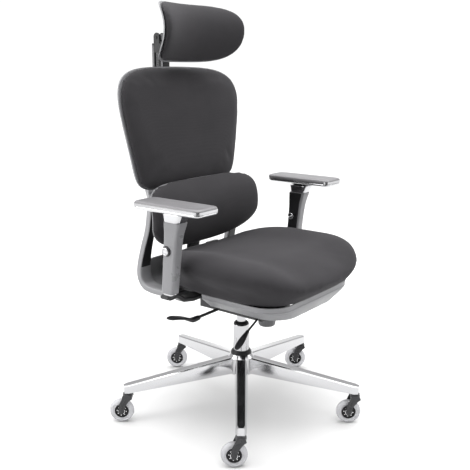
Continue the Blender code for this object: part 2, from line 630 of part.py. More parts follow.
def build_arm(side, label, mats):
    x = side * ARM_POST_X

    def section(z, width, depth, radius, steps=3):
        outline = rounded_rectangle(width, depth, radius, steps)
        return [Vector((x + a, post_y(z) + b, z)) for a, b in outline]

    beam_path = [Vector((side * reach, 0.024, height)) for reach, height in (
        (0.0835, 0.4112), (0.215, 0.4112), (0.250, 0.4170), (0.276, 0.4355),
        (ARM_POST_X + 0.013, 0.4385))]
    beam_widths = (0.042, 0.042, 0.036, 0.030, 0.026)
    beam_sections = [rounded_rectangle(width, 0.0130, 0.003, 1) for width in beam_widths]
    beam = swept(beam_path, beam_sections, (0, 1, 0))
    bracket = add_object(label + "_arm_bracket", beam, mats["steel"], SEAT_ORIGIN)
    upright = loft([section(z, 0.019, 0.023, 0.003, 1) for z in (0.438, 0.560)])
    fuse(bracket, add_object("upright", upright, mats["steel"]))

    ferrule = loft([section(0.4456, 0.026, 0.032, 0.006),
                    section(SLEEVE_BOTTOM_Z - GAP, 0.0285, 0.0345, 0.006)])
    ferrule = add_object(label + "_arm_ferrule", ferrule, mats["polished"], SEAT_ORIGIN)
    bore = loft([section(z, 0.0197, 0.0237, 0.003, 1) for z in (0.43, 0.47)])
    carve(ferrule, add_object("bore", bore, mats["polished"]))

    origin = (x, post_y(SLEEVE_BOTTOM_Z), SLEEVE_BOTTOM_Z)
    sleeve = loft([
        section(SLEEVE_BOTTOM_Z, 0.029, 0.035, 0.007),
        section(0.580, 0.031, 0.039, 0.008),
        section(0.622, 0.032, 0.042, 0.008),
        section(0.640, 0.034, 0.046, 0.008),
        section(SLEEVE_TOP_Z, 0.036, 0.050, 0.008)])
    sleeve = add_object(label + "_arm_sleeve", sleeve, mats["charcoal"], origin)
    well_levels = (SLEEVE_BOTTOM_Z - 0.01, 0.641)
    well = loft([section(z, 0.0205, 0.0245, 0.003, 1) for z in well_levels])
    carve(sleeve, add_object("well", well, mats["charcoal"]))

    collar = loft([
        section(SLEEVE_TOP_Z + GAP, 0.038, 0.051, 0.010),
        section(PAD_BOTTOM_Z - 0.010, 0.044, 0.059, 0.011),
        section(PAD_BOTTOM_Z - 0.0055, 0.045, 0.060, 0.011)])
    add_object(label + "_arm_collar", collar, mats["polished"], origin)

    pin_z = 0.572
    pin_y = post_y(pin_z) + 0.006
    pin_at = Vector((x, pin_y, pin_z))
    bore = rod(pin_at - Vector((0.03, 0, 0)), pin_at + Vector((0.03, 0, 0)), 0.0072, 14)
    carve(sleeve, add_object("bore", bore, mats["charcoal"]))
    outward = Vector((side, 0, 0))
    pin = turned([
        (0.0, -0.033), (0.0070, -0.033), (0.0085, -0.0315), (0.0085, -0.0275), (0.0065, -0.0265),
        (0.0065, 0.0185), (0.0110, 0.0185), (0.0110, 0.0230), (0.0095, 0.0245), (0.0, 0.0245)],
        18, pin_at, outward)
    add_object(label + "_arm_lock_pin", pin, mats["chrome"], pin_at)

    pad_at = Vector((side * ARMREST_X, PAD_CENTRE_Y, PAD_BOTTOM_Z))
    turn_y = post_y(PAD_BOTTOM_Z)
    plate_low = PAD_BOTTOM_Z - 0.0055 + GAP
    plate = turned([(0.0, plate_low), (0.0190, plate_low), (0.0190, PAD_BOTTOM_Z - GAP),
                    (0.0, PAD_BOTTOM_Z - GAP)], 20, (x, turn_y, 0))
    add_object(label + "_arm_pivot_plate", plate, mats["black"], (x, turn_y, plate_low))

    def pad_ring(z, inset, radius):
        outline = rounded_rectangle(PAD_WIDTH - 2 * inset, PAD_LENGTH - 2 * inset, radius, 4)
        return [Vector((pad_at.x + a, pad_at.y + b, z)) for a, b in outline]

    tray_top = PAD_BOTTOM_Z + 0.009
    tray = loft([pad_ring(PAD_BOTTOM_Z, 0.004, 0.016),
                 pad_ring(PAD_BOTTOM_Z + 0.003, 0.0006, 0.019), pad_ring(tray_top, 0.0, 0.020)])
    add_object(label + "_arm_pad_tray", tray, mats["polished"], pad_at)
    pad = loft([pad_ring(tray_top + GAP, 0.0005, 0.020), pad_ring(PAD_TOP_Z - 0.006, 0.0, 0.020),
                pad_ring(PAD_TOP_Z - 0.002, 0.002, 0.019), pad_ring(PAD_TOP_Z, 0.007, 0.016)])
    add_object(label + "_arm_pad", pad, mats["soft"], pad_at)


# ---- back frame ----------------------------------------------------------------------------
def build_back_frame(mats):
    y, z = BACK_PIVOT
    tongue_half = HOUSING_HALF_WIDTH - HOUSING_WALL - GAP * 2
    bar = box((-0.205, 0.205), (0.108, 0.150), (0.3800, 0.3977), 0.002)
    yoke = add_object("back_yoke", bar, mats["steel"], BACK_ORIGIN)
    tongue = box((-tongue_half, tongue_half), (y - 0.011, 0.120), (z - 0.011, 0.3895), 0.002)
    fuse(yoke, add_object("tongue", tongue, mats["steel"]))
    bore = rod((-0.1, y, z), (0.1, y, z), PIN_RADIUS + GAP, 12)
    carve(yoke, add_object("bore", bore, mats["steel"]))

    # The rails' centre line as (out from the middle, y, z): from the yoke round behind the seat,
    # up beside the lumbar pad and in under the upper back to the cross beam.
    centre = ((0.205, 0.112, 0.4078), (0.205, 0.160, 0.4078), (0.205, 0.193, 0.4138),
              (0.205, 0.210, 0.4330), (0.205, 0.215, 0.4600), (0.205, 0.210, 0.4950),
              (0.205, 0.198, 0.5400), (0.205, 0.184, 0.5850), (0.204, 0.178, 0.6250),
              (0.200, 0.179, 0.6500), (0.189, 0.189, 0.6690), (0.169, 0.212, 0.6775),
              (0.147, 0.238, 0.6865), (0.130, 0.258, 0.7080), (0.124, 0.264, 0.7240))
    for side, label in ((-1, "right"), (1, "left")):
        path = []
        sections = []
        for index, (x, y, z) in enumerate(centre):
            width = mix(0.046, 0.026, smooth_step((index - 3) / 5.0))
            path.append(Vector((side * x, y, z)))
            sections.append(rounded_rectangle(width, 0.0195, 0.005, 2))
        rail = swept(path, sections, (1, 0, 0))
        add_object(label + "_back_rail", rail, mats["grey"], BACK_ORIGIN)


def back_face(x, z):
    """Y of the upper back's rear sheet: it leans back, and its lower middle bulges forward."""
    up = (z - BACK_BOTTOM_Z) / (BACK_TOP_Z - BACK_BOTTOM_Z)
    lean = mix(0.200, 0.255, up) + 0.008 * (2 * up - 1) ** 2
    bulge = mix(0.10, -0.30, up) * x * x
    return lean + bulge


def back_rim(angle):
    """Outline of the upper back about its middle: wide shoulders, narrower foot."""
    power = mix(4.6, 3.9, smooth_step((math.sin(angle) + 0.6) / 1.2))
    s, t = superellipse(1.0, 1.0, power)(angle)
    half_width = mix(0.2170, 0.2640, smooth_step((t + 1.2) / 1.9))
    top_crown = 0.010 * (1.0 - s * s) * max(t, 0.0)
    return half_width * s, t * (BACK_TOP_Z - BACK_BOTTOM_Z) / 2 - 0.005 + top_crown


def build_upper_back(mats):
    middle_z = (BACK_TOP_Z + BACK_BOTTOM_Z) / 2

    def sheet(s, t):
        return Vector((s, back_face(s, middle_z + t), middle_z + t))

    pad = pillow(back_rim, sheet, domed(0.034, 0.010), lambda r: 0.0)
    add_object("back_pad", pad, mats["fabric"], BACK_ORIGIN)

    def shell_rim(angle):
        s, t = back_rim(angle)
        return s * 1.016, t * 1.010

    shell = pillow(shell_rim, sheet, lambda r: -SHELL_GAP, domed(0.016, 0.006, 6.0),
                   rings=(0.0, 0.5, 0.85, 1.0))
    add_object("back_shell", shell, mats["grey"], BACK_ORIGIN)


def build_spine(mats):
    """Cross beam and upright behind the shell; the upright holds the headrest's slide."""
    housing = box((-0.026, 0.026), (0.2865, 0.3560), (0.860, 1.030), 0.003)
    spine = add_object("back_spine", housing, mats["black"], BACK_ORIGIN)
    channel = box((-0.0158, 0.0158), (0.2960, 0.3460), (0.868, 1.060))
    stalk_sections = [rounded_rectangle(0.050, 0.024, 0.006, 1)] * 3
    stalk = swept([Vector((0, 0.272, 0.735)), Vector((0, 0.297, 0.820)), Vector((0, 0.312, 0.880))],
                  stalk_sections, (1, 0, 0))
    beam_path = [Vector((0.05 * step, 0.262 + 0.30 * (0.05 * step) ** 2, 0.742))
                 for step in range(-3, 4)]
    beam_sections = [rounded_rectangle(0.034, 0.018, 0.005, 1)] * len(beam_path)
    beam = swept(beam_path, beam_sections, (0, 0, 1))
    fuse(spine, add_object("stalk", stalk, mats["black"]),
         add_object("beam", beam, mats["black"]))
    studs = (   # x, z, from the shell's rear face back into the beam or the housing
        (-0.090, 0.742, SHELL_REAR_LOW_Y, 0.262), (0.090, 0.742, SHELL_REAR_LOW_Y, 0.262),
        (0.0, 0.930, SHELL_REAR_HIGH_Y, 0.291))
    for x, z, front_y, rear_y in studs:
        stud = rod((x, front_y, z), (x, rear_y, z), 0.009, 10)
        fuse(spine, add_object("stud", stud, mats["black"]))
    carve(spine, add_object("channel", channel, mats["black"]))


# ---- lumbar support ------------------------------------------------------------------------
def build_lumbar(mats):
    middle_z = (LUMBAR_TOP_Z + LUMBAR_BOTTOM_Z) / 2
    half_height = (LUMBAR_TOP_Z - LUMBAR_BOTTOM_Z) / 2

    def sheet(s, t):
        v = t / half_height
        y = 0.148 - 0.30 * s * s + 0.026 * v * v
        return Vector((s, y, middle_z + t))

    rim = superellipse(0.246, half_height, 3.6)
    pad = pillow(rim, sheet, domed(0.042, 0.008, 3.0), lambda r: 0.0)
    add_object("lumbar_pad", pad, mats["fabric"], (0, *LUMBAR_PIVOT))

    def shell_rim(angle):
        s, t = rim(angle)
        return s * 1.012, t * 1.012

    shell = pillow(shell_rim, sheet, lambda r: -SHELL_GAP, domed(0.009, 0.005, 6.0),
                   rings=(0.0, 0.5, 0.85, 1.0))
    shell = add_object("lumbar_shell", shell, mats["grey"], (0, *LUMBAR_PIVOT))
    y, z = LUMBAR_PIVOT
    for side in (-1, 1):    # lugs that turn on the inner sides of the rails
        lug = box(sorted((side * 0.172, side * 0.1865)), (0.145, y + 0.008),
                  (z - 0.009, z + 0.009), 0.002)
        fuse(shell, add_object("lug", lug, mats["grey"]))


# ---- headrest ------------------------------------------------------------------------------
def build_headrest(mats):
    y, z = HEADREST_PIVOT
    bar = box((-0.0150, 0.0150), (0.2970, 0.3450), (0.900, 1.128), 0.0015)
    post = add_object("headrest_post", bar, mats["black"], (0, y, z))
    grooves = []
    for side in (-1, 1):
        x = sorted((side * 0.0115, side * 0.020))
        grooves.append(box(x, (0.3090, 0.3330), (0.935, 1.100)))
    for groove in grooves:
        carve(post, add_object("groove", groove, mats["black"]))
    ears = []
    for side in (-1, 1):
        x = sorted((side * 0.0095, side * 0.0150))
        ear = box(x, (y - 0.012, y + 0.012), (1.120, z + 0.004))
        ears.append(add_object("ear", ear, mats["black"]))
        round_end = rod((x[0], y, z + 0.003), (x[1], y, z + 0.003), 0.0118, 14)
        ears.append(add_object("ear", round_end, mats["black"]))
    pin = rod((-0.0175, y, z), (0.0175, y, z), 0.0040, 12)
    fuse(post, *ears, add_object("pin", pin, mats["black"]))

    barrel = rod((-0.0092, y, z), (0.0092, y, z), 0.0115, 14)
    bracket = add_object("headrest_bracket", barrel, mats["charcoal"], (0, y, z))
    arm = box((-0.0092, 0.0092), (0.2200, y), (z - 0.008, z + 0.010))
    plate = box((-0.026, 0.026), (0.2135, 0.2245), (z - 0.012, z + 0.034), 0.003)
    fuse(bracket, add_object("arm", arm, mats["charcoal"]),
         add_object("plate", plate, mats["charcoal"]))
    bore = rod((-0.03, y, z), (0.03, y, z), 0.0043, 12)
    carve(bracket, add_object("bore", bore, mats["charcoal"]))

    middle_z = (HEADREST_TOP_Z + HEADREST_BOTTOM_Z) / 2
    half_height = (HEADREST_TOP_Z - HEADREST_BOTTOM_Z) / 2

    def sheet(s, t):
        v = t / half_height
        y = 0.1970 - 2.15 * s * s + 0.038 * v * v - 0.005 * v
        return Vector((s, y, middle_z + t))

    def rim(angle):
        s, t = superellipse(0.1745, half_height, 3.3)(angle)
        return s * mix(0.95, 1.0, smooth_step((t / half_height + 1.0) / 1.2)), t

    origin = (0, y, z)
    pad = pillow(rim, sheet, domed(0.032, 0.009, 3.4), lambda r: 0.0)
    add_object("headrest_pad", pad, mats["fabric"], origin)

    def shell_rim(angle):
        s, t = rim(angle)
        return s * 1.018, t * 1.020

    shell = pillow(shell_rim, sheet, lambda r: -SHELL_GAP, domed(0.011, 0.006, 6.0),
                   rings=(0.0, 0.4, 0.7, 0.88, 1.0))
    add_object("headrest_shell", shell, mats["grey"], origin)


# ---- the whole chair -----------------------------------------------------------------------
clear_scene()
FRAME = add_frame_empty()
MATERIALS = make_materials()
build_base(MATERIALS)
build_column(MATERIALS)
for caster in range(ARM_COUNT):
    build_caster(caster, MATERIALS)
build_housing(MATERIALS)
build_tension_knob(MATERIALS)
build_levers(MATERIALS)
build_seat(MATERIALS)
build_seat_pan(MATERIALS)
build_arm(-1, "right", MATERIALS)
build_arm(1, "left", MATERIALS)
build_back_frame(MATERIALS)
build_upper_back(MATERIALS)
build_spine(MATERIALS)
build_lumbar(MATERIALS)
build_headrest(MATERIALS)
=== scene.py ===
import math

import bmesh
import bpy
import numpy as np
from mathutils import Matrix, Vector


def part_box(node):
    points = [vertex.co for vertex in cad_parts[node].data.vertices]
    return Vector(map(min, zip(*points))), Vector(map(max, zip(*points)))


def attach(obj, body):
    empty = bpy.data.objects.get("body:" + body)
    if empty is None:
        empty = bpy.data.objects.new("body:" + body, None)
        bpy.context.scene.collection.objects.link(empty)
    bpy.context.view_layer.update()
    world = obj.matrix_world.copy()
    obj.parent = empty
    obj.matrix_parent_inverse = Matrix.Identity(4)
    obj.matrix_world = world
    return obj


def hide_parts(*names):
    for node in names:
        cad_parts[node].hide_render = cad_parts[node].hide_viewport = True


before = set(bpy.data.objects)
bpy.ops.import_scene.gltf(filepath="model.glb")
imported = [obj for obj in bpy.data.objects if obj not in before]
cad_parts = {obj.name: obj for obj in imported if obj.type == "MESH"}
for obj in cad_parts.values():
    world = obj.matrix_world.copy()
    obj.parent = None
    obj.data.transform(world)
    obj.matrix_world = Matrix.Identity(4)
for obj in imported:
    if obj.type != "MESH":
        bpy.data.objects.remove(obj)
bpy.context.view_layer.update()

# ---- Studio ---------------------------------------------------------------------------------
# A white cyclorama: a pale floor, a white dome, one big soft box overhead and a weaker one at
# each side. A dark card behind the camera gives the polished parts something to reflect.
tube_low, tube_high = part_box("column_tube")
column_foot = Vector(((tube_low.x + tube_high.x) / 2, (tube_low.y + tube_high.y) / 2, 0.0))
scene = bpy.context.scene
scene.view_settings.view_transform = "Standard"


def add_node(tree, kind, plugs=None, **options):
    """Adds a node, sets its options and fills its sockets with values or with other sockets."""
    node = tree.nodes.new(kind)
    for option, value in options.items():
        setattr(node, option, value)
    for socket, value in (plugs or {}).items():
        if isinstance(value, bpy.types.NodeSocket):
            tree.links.new(value, node.inputs[socket])
        else:
            node.inputs[socket].default_value = value
    return node


def soft_box(name, place, target, size, power):
    lamp = bpy.data.lights.new(name, "AREA")
    lamp.shape = "RECTANGLE"
    lamp.size, lamp.size_y = size
    lamp.energy = power
    stand = bpy.data.objects.new(name, lamp)
    stand.location = place
    stand.rotation_euler = (Vector(target) - Vector(place)).to_track_quat("-Z", "Y").to_euler()
    scene.collection.objects.link(stand)


def flat_card(name, corners, colour):
    mesh = bpy.data.meshes.new(name)
    mesh.from_pydata([Vector(c) for c in corners], [], [(0, 1, 2, 3)])
    paint = bpy.data.materials.new(name)
    paint.use_nodes = True
    shader = paint.node_tree.nodes["Principled BSDF"]
    shader.inputs["Base Color"].default_value = (*colour, 1.0)
    shader.inputs["Roughness"].default_value = 0.9
    shader.inputs["Specular IOR Level"].default_value = 0.0
    mesh.materials.append(paint)
    card = bpy.data.objects.new(name, mesh)
    scene.collection.objects.link(card)
    return card


camera_place = column_foot + Vector((-1.6252, -1.2506, 1.0419))
camera_aim = Vector((0.7657, 0.6010, -0.2290))
lens = bpy.data.cameras.new("camera")
lens.lens = 53.2
camera = bpy.data.objects.new("camera", lens)
camera.location = camera_place
camera.rotation_euler = camera_aim.to_track_quat("-Z", "Y").to_euler()
scene.collection.objects.link(camera)
scene.camera = camera

# The dome is white at eye level, grey above it and brightest overhead.
world = bpy.data.worlds.new("white_dome")
world.use_nodes = True
sky = world.node_tree
heading = add_node(sky, "ShaderNodeTexCoord").outputs["Generated"]
height_of_sky = add_node(sky, "ShaderNodeSeparateXYZ", {"Vector": heading}).outputs["Z"]
bands = add_node(sky, "ShaderNodeValToRGB", {"Fac": height_of_sky})
sky.links.new(bands.outputs["Color"], sky.nodes["Background"].inputs["Color"])
sky.nodes["Background"].inputs["Strength"].default_value = 2.5
stops = ((0.0, 0.42), (0.13, 0.42), (0.19, 0.27), (0.48, 0.27), (0.78, 0.90))
while len(bands.color_ramp.elements) < len(stops):
    bands.color_ramp.elements.new(0.5)
for element, (place, grey) in zip(bands.color_ramp.elements, stops):
    element.position = place
    element.color = (grey, grey, grey, 1.0)
scene.world = world
soft_box("overhead_box", (0.1, -0.2, 3.6), (0, 0, 0.4), (3.4, 3.4), 140)
soft_box("side_box", (-2.6, 1.9, 1.5), (0, 0, 0.6), (1.8, 2.4), 60)
soft_box("front_box", (2.2, -2.4, 1.6), (0, 0, 0.5), (1.6, 2.2), 14)

reach = 40.0
floor = flat_card("floor", [(-reach, -reach, 0), (reach, -reach, 0), (reach, reach, 0),
    (-reach, reach, 0)], (0.45, 0.45, 0.45))
paint = floor.data.materials[0].node_tree
# The floor's paint grows paler away from the chair: painted light that makes up for the overhead box not
# reaching the far floor, so it all reads white.
spot_on_floor = add_node(paint, "ShaderNodeTexCoord").outputs["Object"]
distance = add_node(paint, "ShaderNodeVectorMath", {0: spot_on_floor}, operation="LENGTH").outputs["Value"]
painted_far_light = add_node(paint, "ShaderNodeMapRange", {"Value": distance, "From Max": 7.0, "To Min": 0.60,
    "To Max": 0.76})
paint.links.new(painted_far_light.outputs["Result"], paint.nodes["Principled BSDF"].inputs["Base Color"])

# A dark card behind the camera, which only shows in reflections and in the light it holds back.
card = flat_card("card_behind_camera", [(-3.4, -0.9, 0.05), (-1.5, -3.3, 0.05), (-1.5, -3.3, 2.3),
    (-3.4, -0.9, 2.3)], (0.02, 0.02, 0.02))
card.visible_camera = False
card.visible_shadow = False

# ---- Star base ------------------------------------------------------------------------------
# One pressure die casting in aluminium, ground and polished by hand, with five tapering arms.
# Its sharp mould edges are rounded over, and its arms are hollow with cross ribs underneath.


def finish_of(name, colour, roughness, metallic=0.0, tone=0.06, tone_scale=9.0,
              smudge=0.05, smudge_scale=24.0, grain=0.0, grain_scale=900.0, gloss=0.5):
    """A solid material: slightly uneven colour, patches of duller gloss and a fine grain."""
    made = bpy.data.materials.new(name)
    made.use_nodes = True
    tree = made.node_tree
    shader = tree.nodes["Principled BSDF"]
    shader.inputs["Metallic"].default_value = metallic
    shader.inputs["Specular IOR Level"].default_value = gloss
    place = add_node(tree, "ShaderNodeTexCoord").outputs["Object"]

    def cloud(scale, detail):
        return add_node(tree, "ShaderNodeTexNoise", {"Scale": scale, "Detail": detail,
            "Vector": place}).outputs["Fac"]

    tint = add_node(tree, "ShaderNodeMix", {"A": (*[c * (1.0 - tone) for c in colour], 1.0),
        "B": (*[min(c * (1.0 + tone), 1.0) for c in colour], 1.0), "Factor": cloud(tone_scale, 4.0)},
        data_type="RGBA")
    tree.links.new(tint.outputs["Result"], shader.inputs["Base Color"])
    dulled = add_node(tree, "ShaderNodeMapRange", {"From Min": 0.35, "From Max": 0.65,
        "To Min": max(roughness - smudge, 0.02), "To Max": roughness + smudge,
        "Value": cloud(smudge_scale, 6.0)})
    tree.links.new(dulled.outputs["Result"], shader.inputs["Roughness"])
    if grain:
        bump = add_node(tree, "ShaderNodeBump", {"Strength": grain, "Distance": 0.0002,
            "Height": cloud(grain_scale, 2.0)})
        tree.links.new(bump.outputs["Normal"], shader.inputs["Normal"])
    return made


def new_piece(name, bm, material, sharp=40.0):
    """A bmesh drawn from the column's foot becomes a piece in the frame's coordinates."""
    bmesh.ops.remove_doubles(bm, verts=bm.verts, dist=1e-6)
    bmesh.ops.recalc_face_normals(bm, faces=bm.faces)
    bmesh.ops.translate(bm, verts=bm.verts, vec=column_foot)
    mesh = bpy.data.meshes.new(name)
    bm.to_mesh(mesh)
    bm.free()
    mesh.materials.append(material)
    mesh.shade_smooth()
    mesh.set_sharp_from_angle(angle=math.radians(sharp))
    piece = bpy.data.objects.new(name, mesh)
    scene.collection.objects.link(piece)
    return piece


def settled(piece):
    """Turns a piece's modifiers into its mesh."""
    bpy.context.view_layer.update()
    graph = bpy.context.evaluated_depsgraph_get()
    mesh = bpy.data.meshes.new_from_object(piece.evaluated_get(graph))
    piece.modifiers.clear()
    piece.data = mesh
    mesh.name = piece.name
    return piece


def fit(piece, body, slot, *nodes):
    """Hangs a piece on its body and hides the frame parts that it stands for; `slot` is not used."""
    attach(piece, body)
    if nodes:
        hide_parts(*nodes)
    return piece


def dressed(node, name, material, body, slot, radius, segments=3, sharp=35.0):
    """A frame part with its edges rounded over: a merged copy with a live bevel."""
    bm = bmesh.new()
    bm.from_mesh(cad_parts[node].data)
    bmesh.ops.remove_doubles(bm, verts=bm.verts, dist=1e-5)
    bmesh.ops.dissolve_limit(bm, angle_limit=math.radians(1.0), verts=bm.verts, edges=bm.edges)
    bmesh.ops.translate(bm, verts=bm.verts, vec=-column_foot)
    piece = new_piece(name, bm, material, sharp)
    bevel = piece.modifiers.new("round_edges", "BEVEL")
    bevel.width = radius
    bevel.segments = segments
    bevel.limit_method = "ANGLE"
    bevel.angle_limit = math.radians(sharp)
    bevel.miter_outer = "MITER_ARC"
    return fit(settled(piece), body, slot, node)


polished = finish_of("polished_aluminium", (0.54, 0.54, 0.55), 0.12, 1.0, tone=0.02, smudge=0.03,
    smudge_scale=14.0, grain=0.03, grain_scale=420.0)
dressed("star_base", "base_casting", polished, "base", "polished_aluminium", 0.0013)

# ---- Column ---------------------------------------------------------------------------------
# A chromed tube pressed into the hub, a black ribbed cap over the joint, a plastic guide bush
# in the tube's mouth and the gas spring's ground and chromed rod.


def turn(profile, segments=64, centre=(0, 0, 0), axis=(0, 0, 1), flute=None):
    """Turns (radius, height) points about an axis. `flute(angle)` scales the radii."""
    bm = bmesh.new()
    tilt = Vector((0, 0, 1)).rotation_difference(Vector(axis)).to_matrix()
    rings = []
    for radius, height in profile:
        ring = []
        for step in range(segments):
            angle = 2.0 * math.pi * step / segments
            r = radius * (flute(angle) if flute else 1.0)
            spot = tilt @ Vector((r * math.cos(angle), r * math.sin(angle), height))
            ring.append(bm.verts.new(Vector(centre) + spot))
        rings.append(ring)
    if profile[0][0] > 1e-6:
        rings.append(rings[0])
    for low, high in zip(rings, rings[1:]):
        for i in range(segments):
            j = (i + 1) % segments
            bm.faces.new((low[i], low[j], high[j], high[i]))
    return bm


def rounded(profile, radius, steps=4):
    """Rounds the corners of an open run of (radius, height) points."""
    smooth = [profile[0]]
    for before, corner, after in zip(profile, profile[1:], profile[2:]):
        b, c, a = Vector(before), Vector(corner), Vector(after)
        cut = min(radius, (b - c).length * 0.48, (a - c).length * 0.48)
        start, end = c + (b - c).normalized() * cut, c + (a - c).normalized() * cut
        for step in range(steps + 1):
            t = step / steps
            spot = start * (1 - t) ** 2 + c * 2 * t * (1 - t) + end * t ** 2
            smooth.append((spot.x, spot.y))
    smooth.append(profile[-1])
    return smooth


chrome = finish_of("chrome", (0.46, 0.46, 0.47), 0.07, 1.0, tone=0.02, smudge=0.02, smudge_scale=30.0)
black = finish_of("black_plastic", (0.012, 0.012, 0.013), 0.36, tone=0.2, grain=0.10, grain_scale=1400.0,
    gloss=0.22)
tube_radius = (tube_high.x - tube_low.x) / 2
bore = 0.0155
fit(new_piece("gas_tube", turn(rounded([(bore, tube_low.z), (tube_radius, tube_low.z),
    (tube_radius, tube_high.z), (bore, tube_high.z)], 0.0022), 96), chrome), "base", "chrome",
    "column_tube")
bush_low, bush_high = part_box("column_bush")
fit(new_piece("guide_bush", turn(rounded([(0.0143, bush_low.z), (0.0225, bush_low.z),
    (0.0235, bush_low.z + 0.003), (0.0205, bush_low.z + 0.0055), (0.0175, bush_high.z),
    (0.0143, bush_high.z)], 0.001), 64), black), "base", "black_plastic", "column_bush")
cap_low, cap_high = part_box("hub_cap")
cap_ribs = 40
fit(new_piece("ribbed_hub_cap", turn(rounded([(0.0256, cap_low.z), (0.0322, cap_low.z),
    (0.0325, cap_low.z + 0.0040), (0.0282, cap_high.z), (0.0256, cap_high.z)], 0.0012), cap_ribs * 4,
    flute=lambda a: 1.0 - 0.006 * (1 + math.cos(cap_ribs * a))), black, 60.0), "base", "black_plastic",
    "hub_cap")
rod_low, rod_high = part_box("piston_rod")
rod_radius = (rod_high.x - rod_low.x) / 2
fit(new_piece("gas_rod", turn(rounded([(1e-7, rod_low.z), (rod_radius, rod_low.z),
    (rod_radius, rod_high.z), (1e-7, rod_high.z)], 0.0012), 64), chrome), "lift", "chrome", "piston_rod")

# ---- Casters --------------------------------------------------------------------------------
# Five alike: a moulded fork on a steel stem, with a horn over the wheel and a rib down each
# leg, a black spoked hub with a bright ring round the axle, and a clear polyurethane tyre.
trail = Vector((-0.61, 0.792, 0.0)).normalized()
axle = trail.cross(Vector((0, 0, 1)))
wheel_width = 0.022
spoke_count = 8
fork_plastic = finish_of("fork_plastic", (0.034, 0.034, 0.036), 0.26, tone=0.15, grain=0.12,
    grain_scale=1200.0, gloss=0.35)
bright_ring = finish_of("bright_ring", (0.90, 0.90, 0.91), 0.12, 1.0, tone=0.02)
tyre_clear = finish_of("clear_tyre", (0.62, 0.62, 0.64), 0.10, tone=0.03, smudge=0.05)
tyre_clear.node_tree.nodes["Principled BSDF"].inputs["Transmission Weight"].default_value = 0.60
tyre_clear.node_tree.nodes["Principled BSDF"].inputs["IOR"].default_value = 1.45


def join(target, *extras):
    """Adds other bmeshes to one."""
    for extra in extras:
        mesh = bpy.data.meshes.new("loose")
        extra.to_mesh(mesh)
        extra.free()
        target.from_mesh(mesh)
        bpy.data.meshes.remove(mesh)
    return target


def bar(x, y, z, radius=0.0, segments=3):
    """A box between (low, high) pairs with rounded edges."""
    bm = bmesh.new()
    bmesh.ops.create_cube(bm, size=1.0)
    for vert in bm.verts:
        vert.co = Vector([low + (c + 0.5) * (high - low) for c, (low, high) in zip(vert.co, (x, y, z))])
    if radius:
        bmesh.ops.bevel(bm, geom=bm.edges[:], offset=radius, segments=segments, profile=0.5,
            affect="EDGES", clamp_overlap=True)
    return bm


def growing_tree(name, sizes):
    """An open geometry tree: the tree, its input sockets and each input's identifier."""
    tree = bpy.data.node_groups.new(name, "GeometryNodeTree")
    add = tree.interface.new_socket
    add("Geometry", in_out="INPUT", socket_type="NodeSocketGeometry")
    keys = {label: add(label, in_out="INPUT", socket_type="NodeSocket" + kind).identifier for label,
        kind in sizes.items()}
    add("Geometry", in_out="OUTPUT", socket_type="NodeSocketGeometry")
    return tree, tree.nodes.new("NodeGroupInput").outputs, keys


def end_tree(tree, shape, material):
    """Ends a tree in real geometry with its material set."""
    real = add_node(tree, "GeometryNodeRealizeInstances", {"Geometry": shape})
    painted = add_node(tree, "GeometryNodeSetMaterial",
        {"Geometry": real.outputs["Geometry"], "Material": material})
    add_node(tree, "NodeGroupOutput", {"Geometry": painted.outputs["Geometry"]})


def skin(rings, looped=False):
    """Faces between rings of equal length, with flat ends unless the run closes on itself."""
    bm = bmesh.new()
    made = [[bm.verts.new(spot) for spot in ring] for ring in rings]
    pairs = list(zip(made, made[1:]))
    if looped:
        pairs.append((made[-1], made[0]))
    for first, second in pairs:
        for i in range(len(first)):
            j = (i + 1) % len(first)
            bm.faces.new((first[i], first[j], second[j], second[i]))
    if not looped:
        bm.faces.new(list(reversed(made[0])))
        bm.faces.new(made[-1])
    return bm


def cylinder(radius, low, high, centre, axis=(0, 0, 1), segments=40):
    """A plain round bar or drill with closed ends."""
    return turn([(1e-7, low), (radius, low), (radius, high), (1e-7, high)], segments, centre, axis)


def ring_row_tree(name, material):
    """Round studs set evenly on a circle, each standing along the circle's axis."""
    tree, size, keys = growing_tree(name, {"Count": "Int", "Ring Radius": "Float", "Stud Radius": "Float",
        "Stud Height": "Float"})
    circle = add_node(tree, "GeometryNodeMeshCircle",
        {"Vertices": size["Count"], "Radius": size["Ring Radius"]})
    stud = add_node(tree, "GeometryNodeMeshCylinder",
        {"Vertices": 12, "Radius": size["Stud Radius"], "Depth": size["Stud Height"]})
    row = add_node(tree, "GeometryNodeInstanceOnPoints",
        {"Points": circle.outputs["Mesh"], "Instance": stud.outputs["Mesh"]})
    end_tree(tree, row.outputs["Instances"], material)
    return tree, keys


def grown(tree_and_keys, sizes):
    """Runs a geometry tree with the given sizes and keeps the result as a bmesh."""
    tree, keys = tree_and_keys
    seed = bpy.data.objects.new("seed", bpy.data.meshes.new("seed"))
    scene.collection.objects.link(seed)
    step = seed.modifiers.new("grow", "NODES")
    step.node_group = tree
    for label, value in sizes.items():
        step[keys[label]] = value
    bpy.context.view_layer.update()
    graph = bpy.context.evaluated_depsgraph_get()
    result = bpy.data.meshes.new_from_object(seed.evaluated_get(graph))
    bm = bmesh.new()
    bm.from_mesh(result)
    bpy.data.objects.remove(seed, do_unlink=True)
    bpy.data.meshes.remove(result)
    return bm


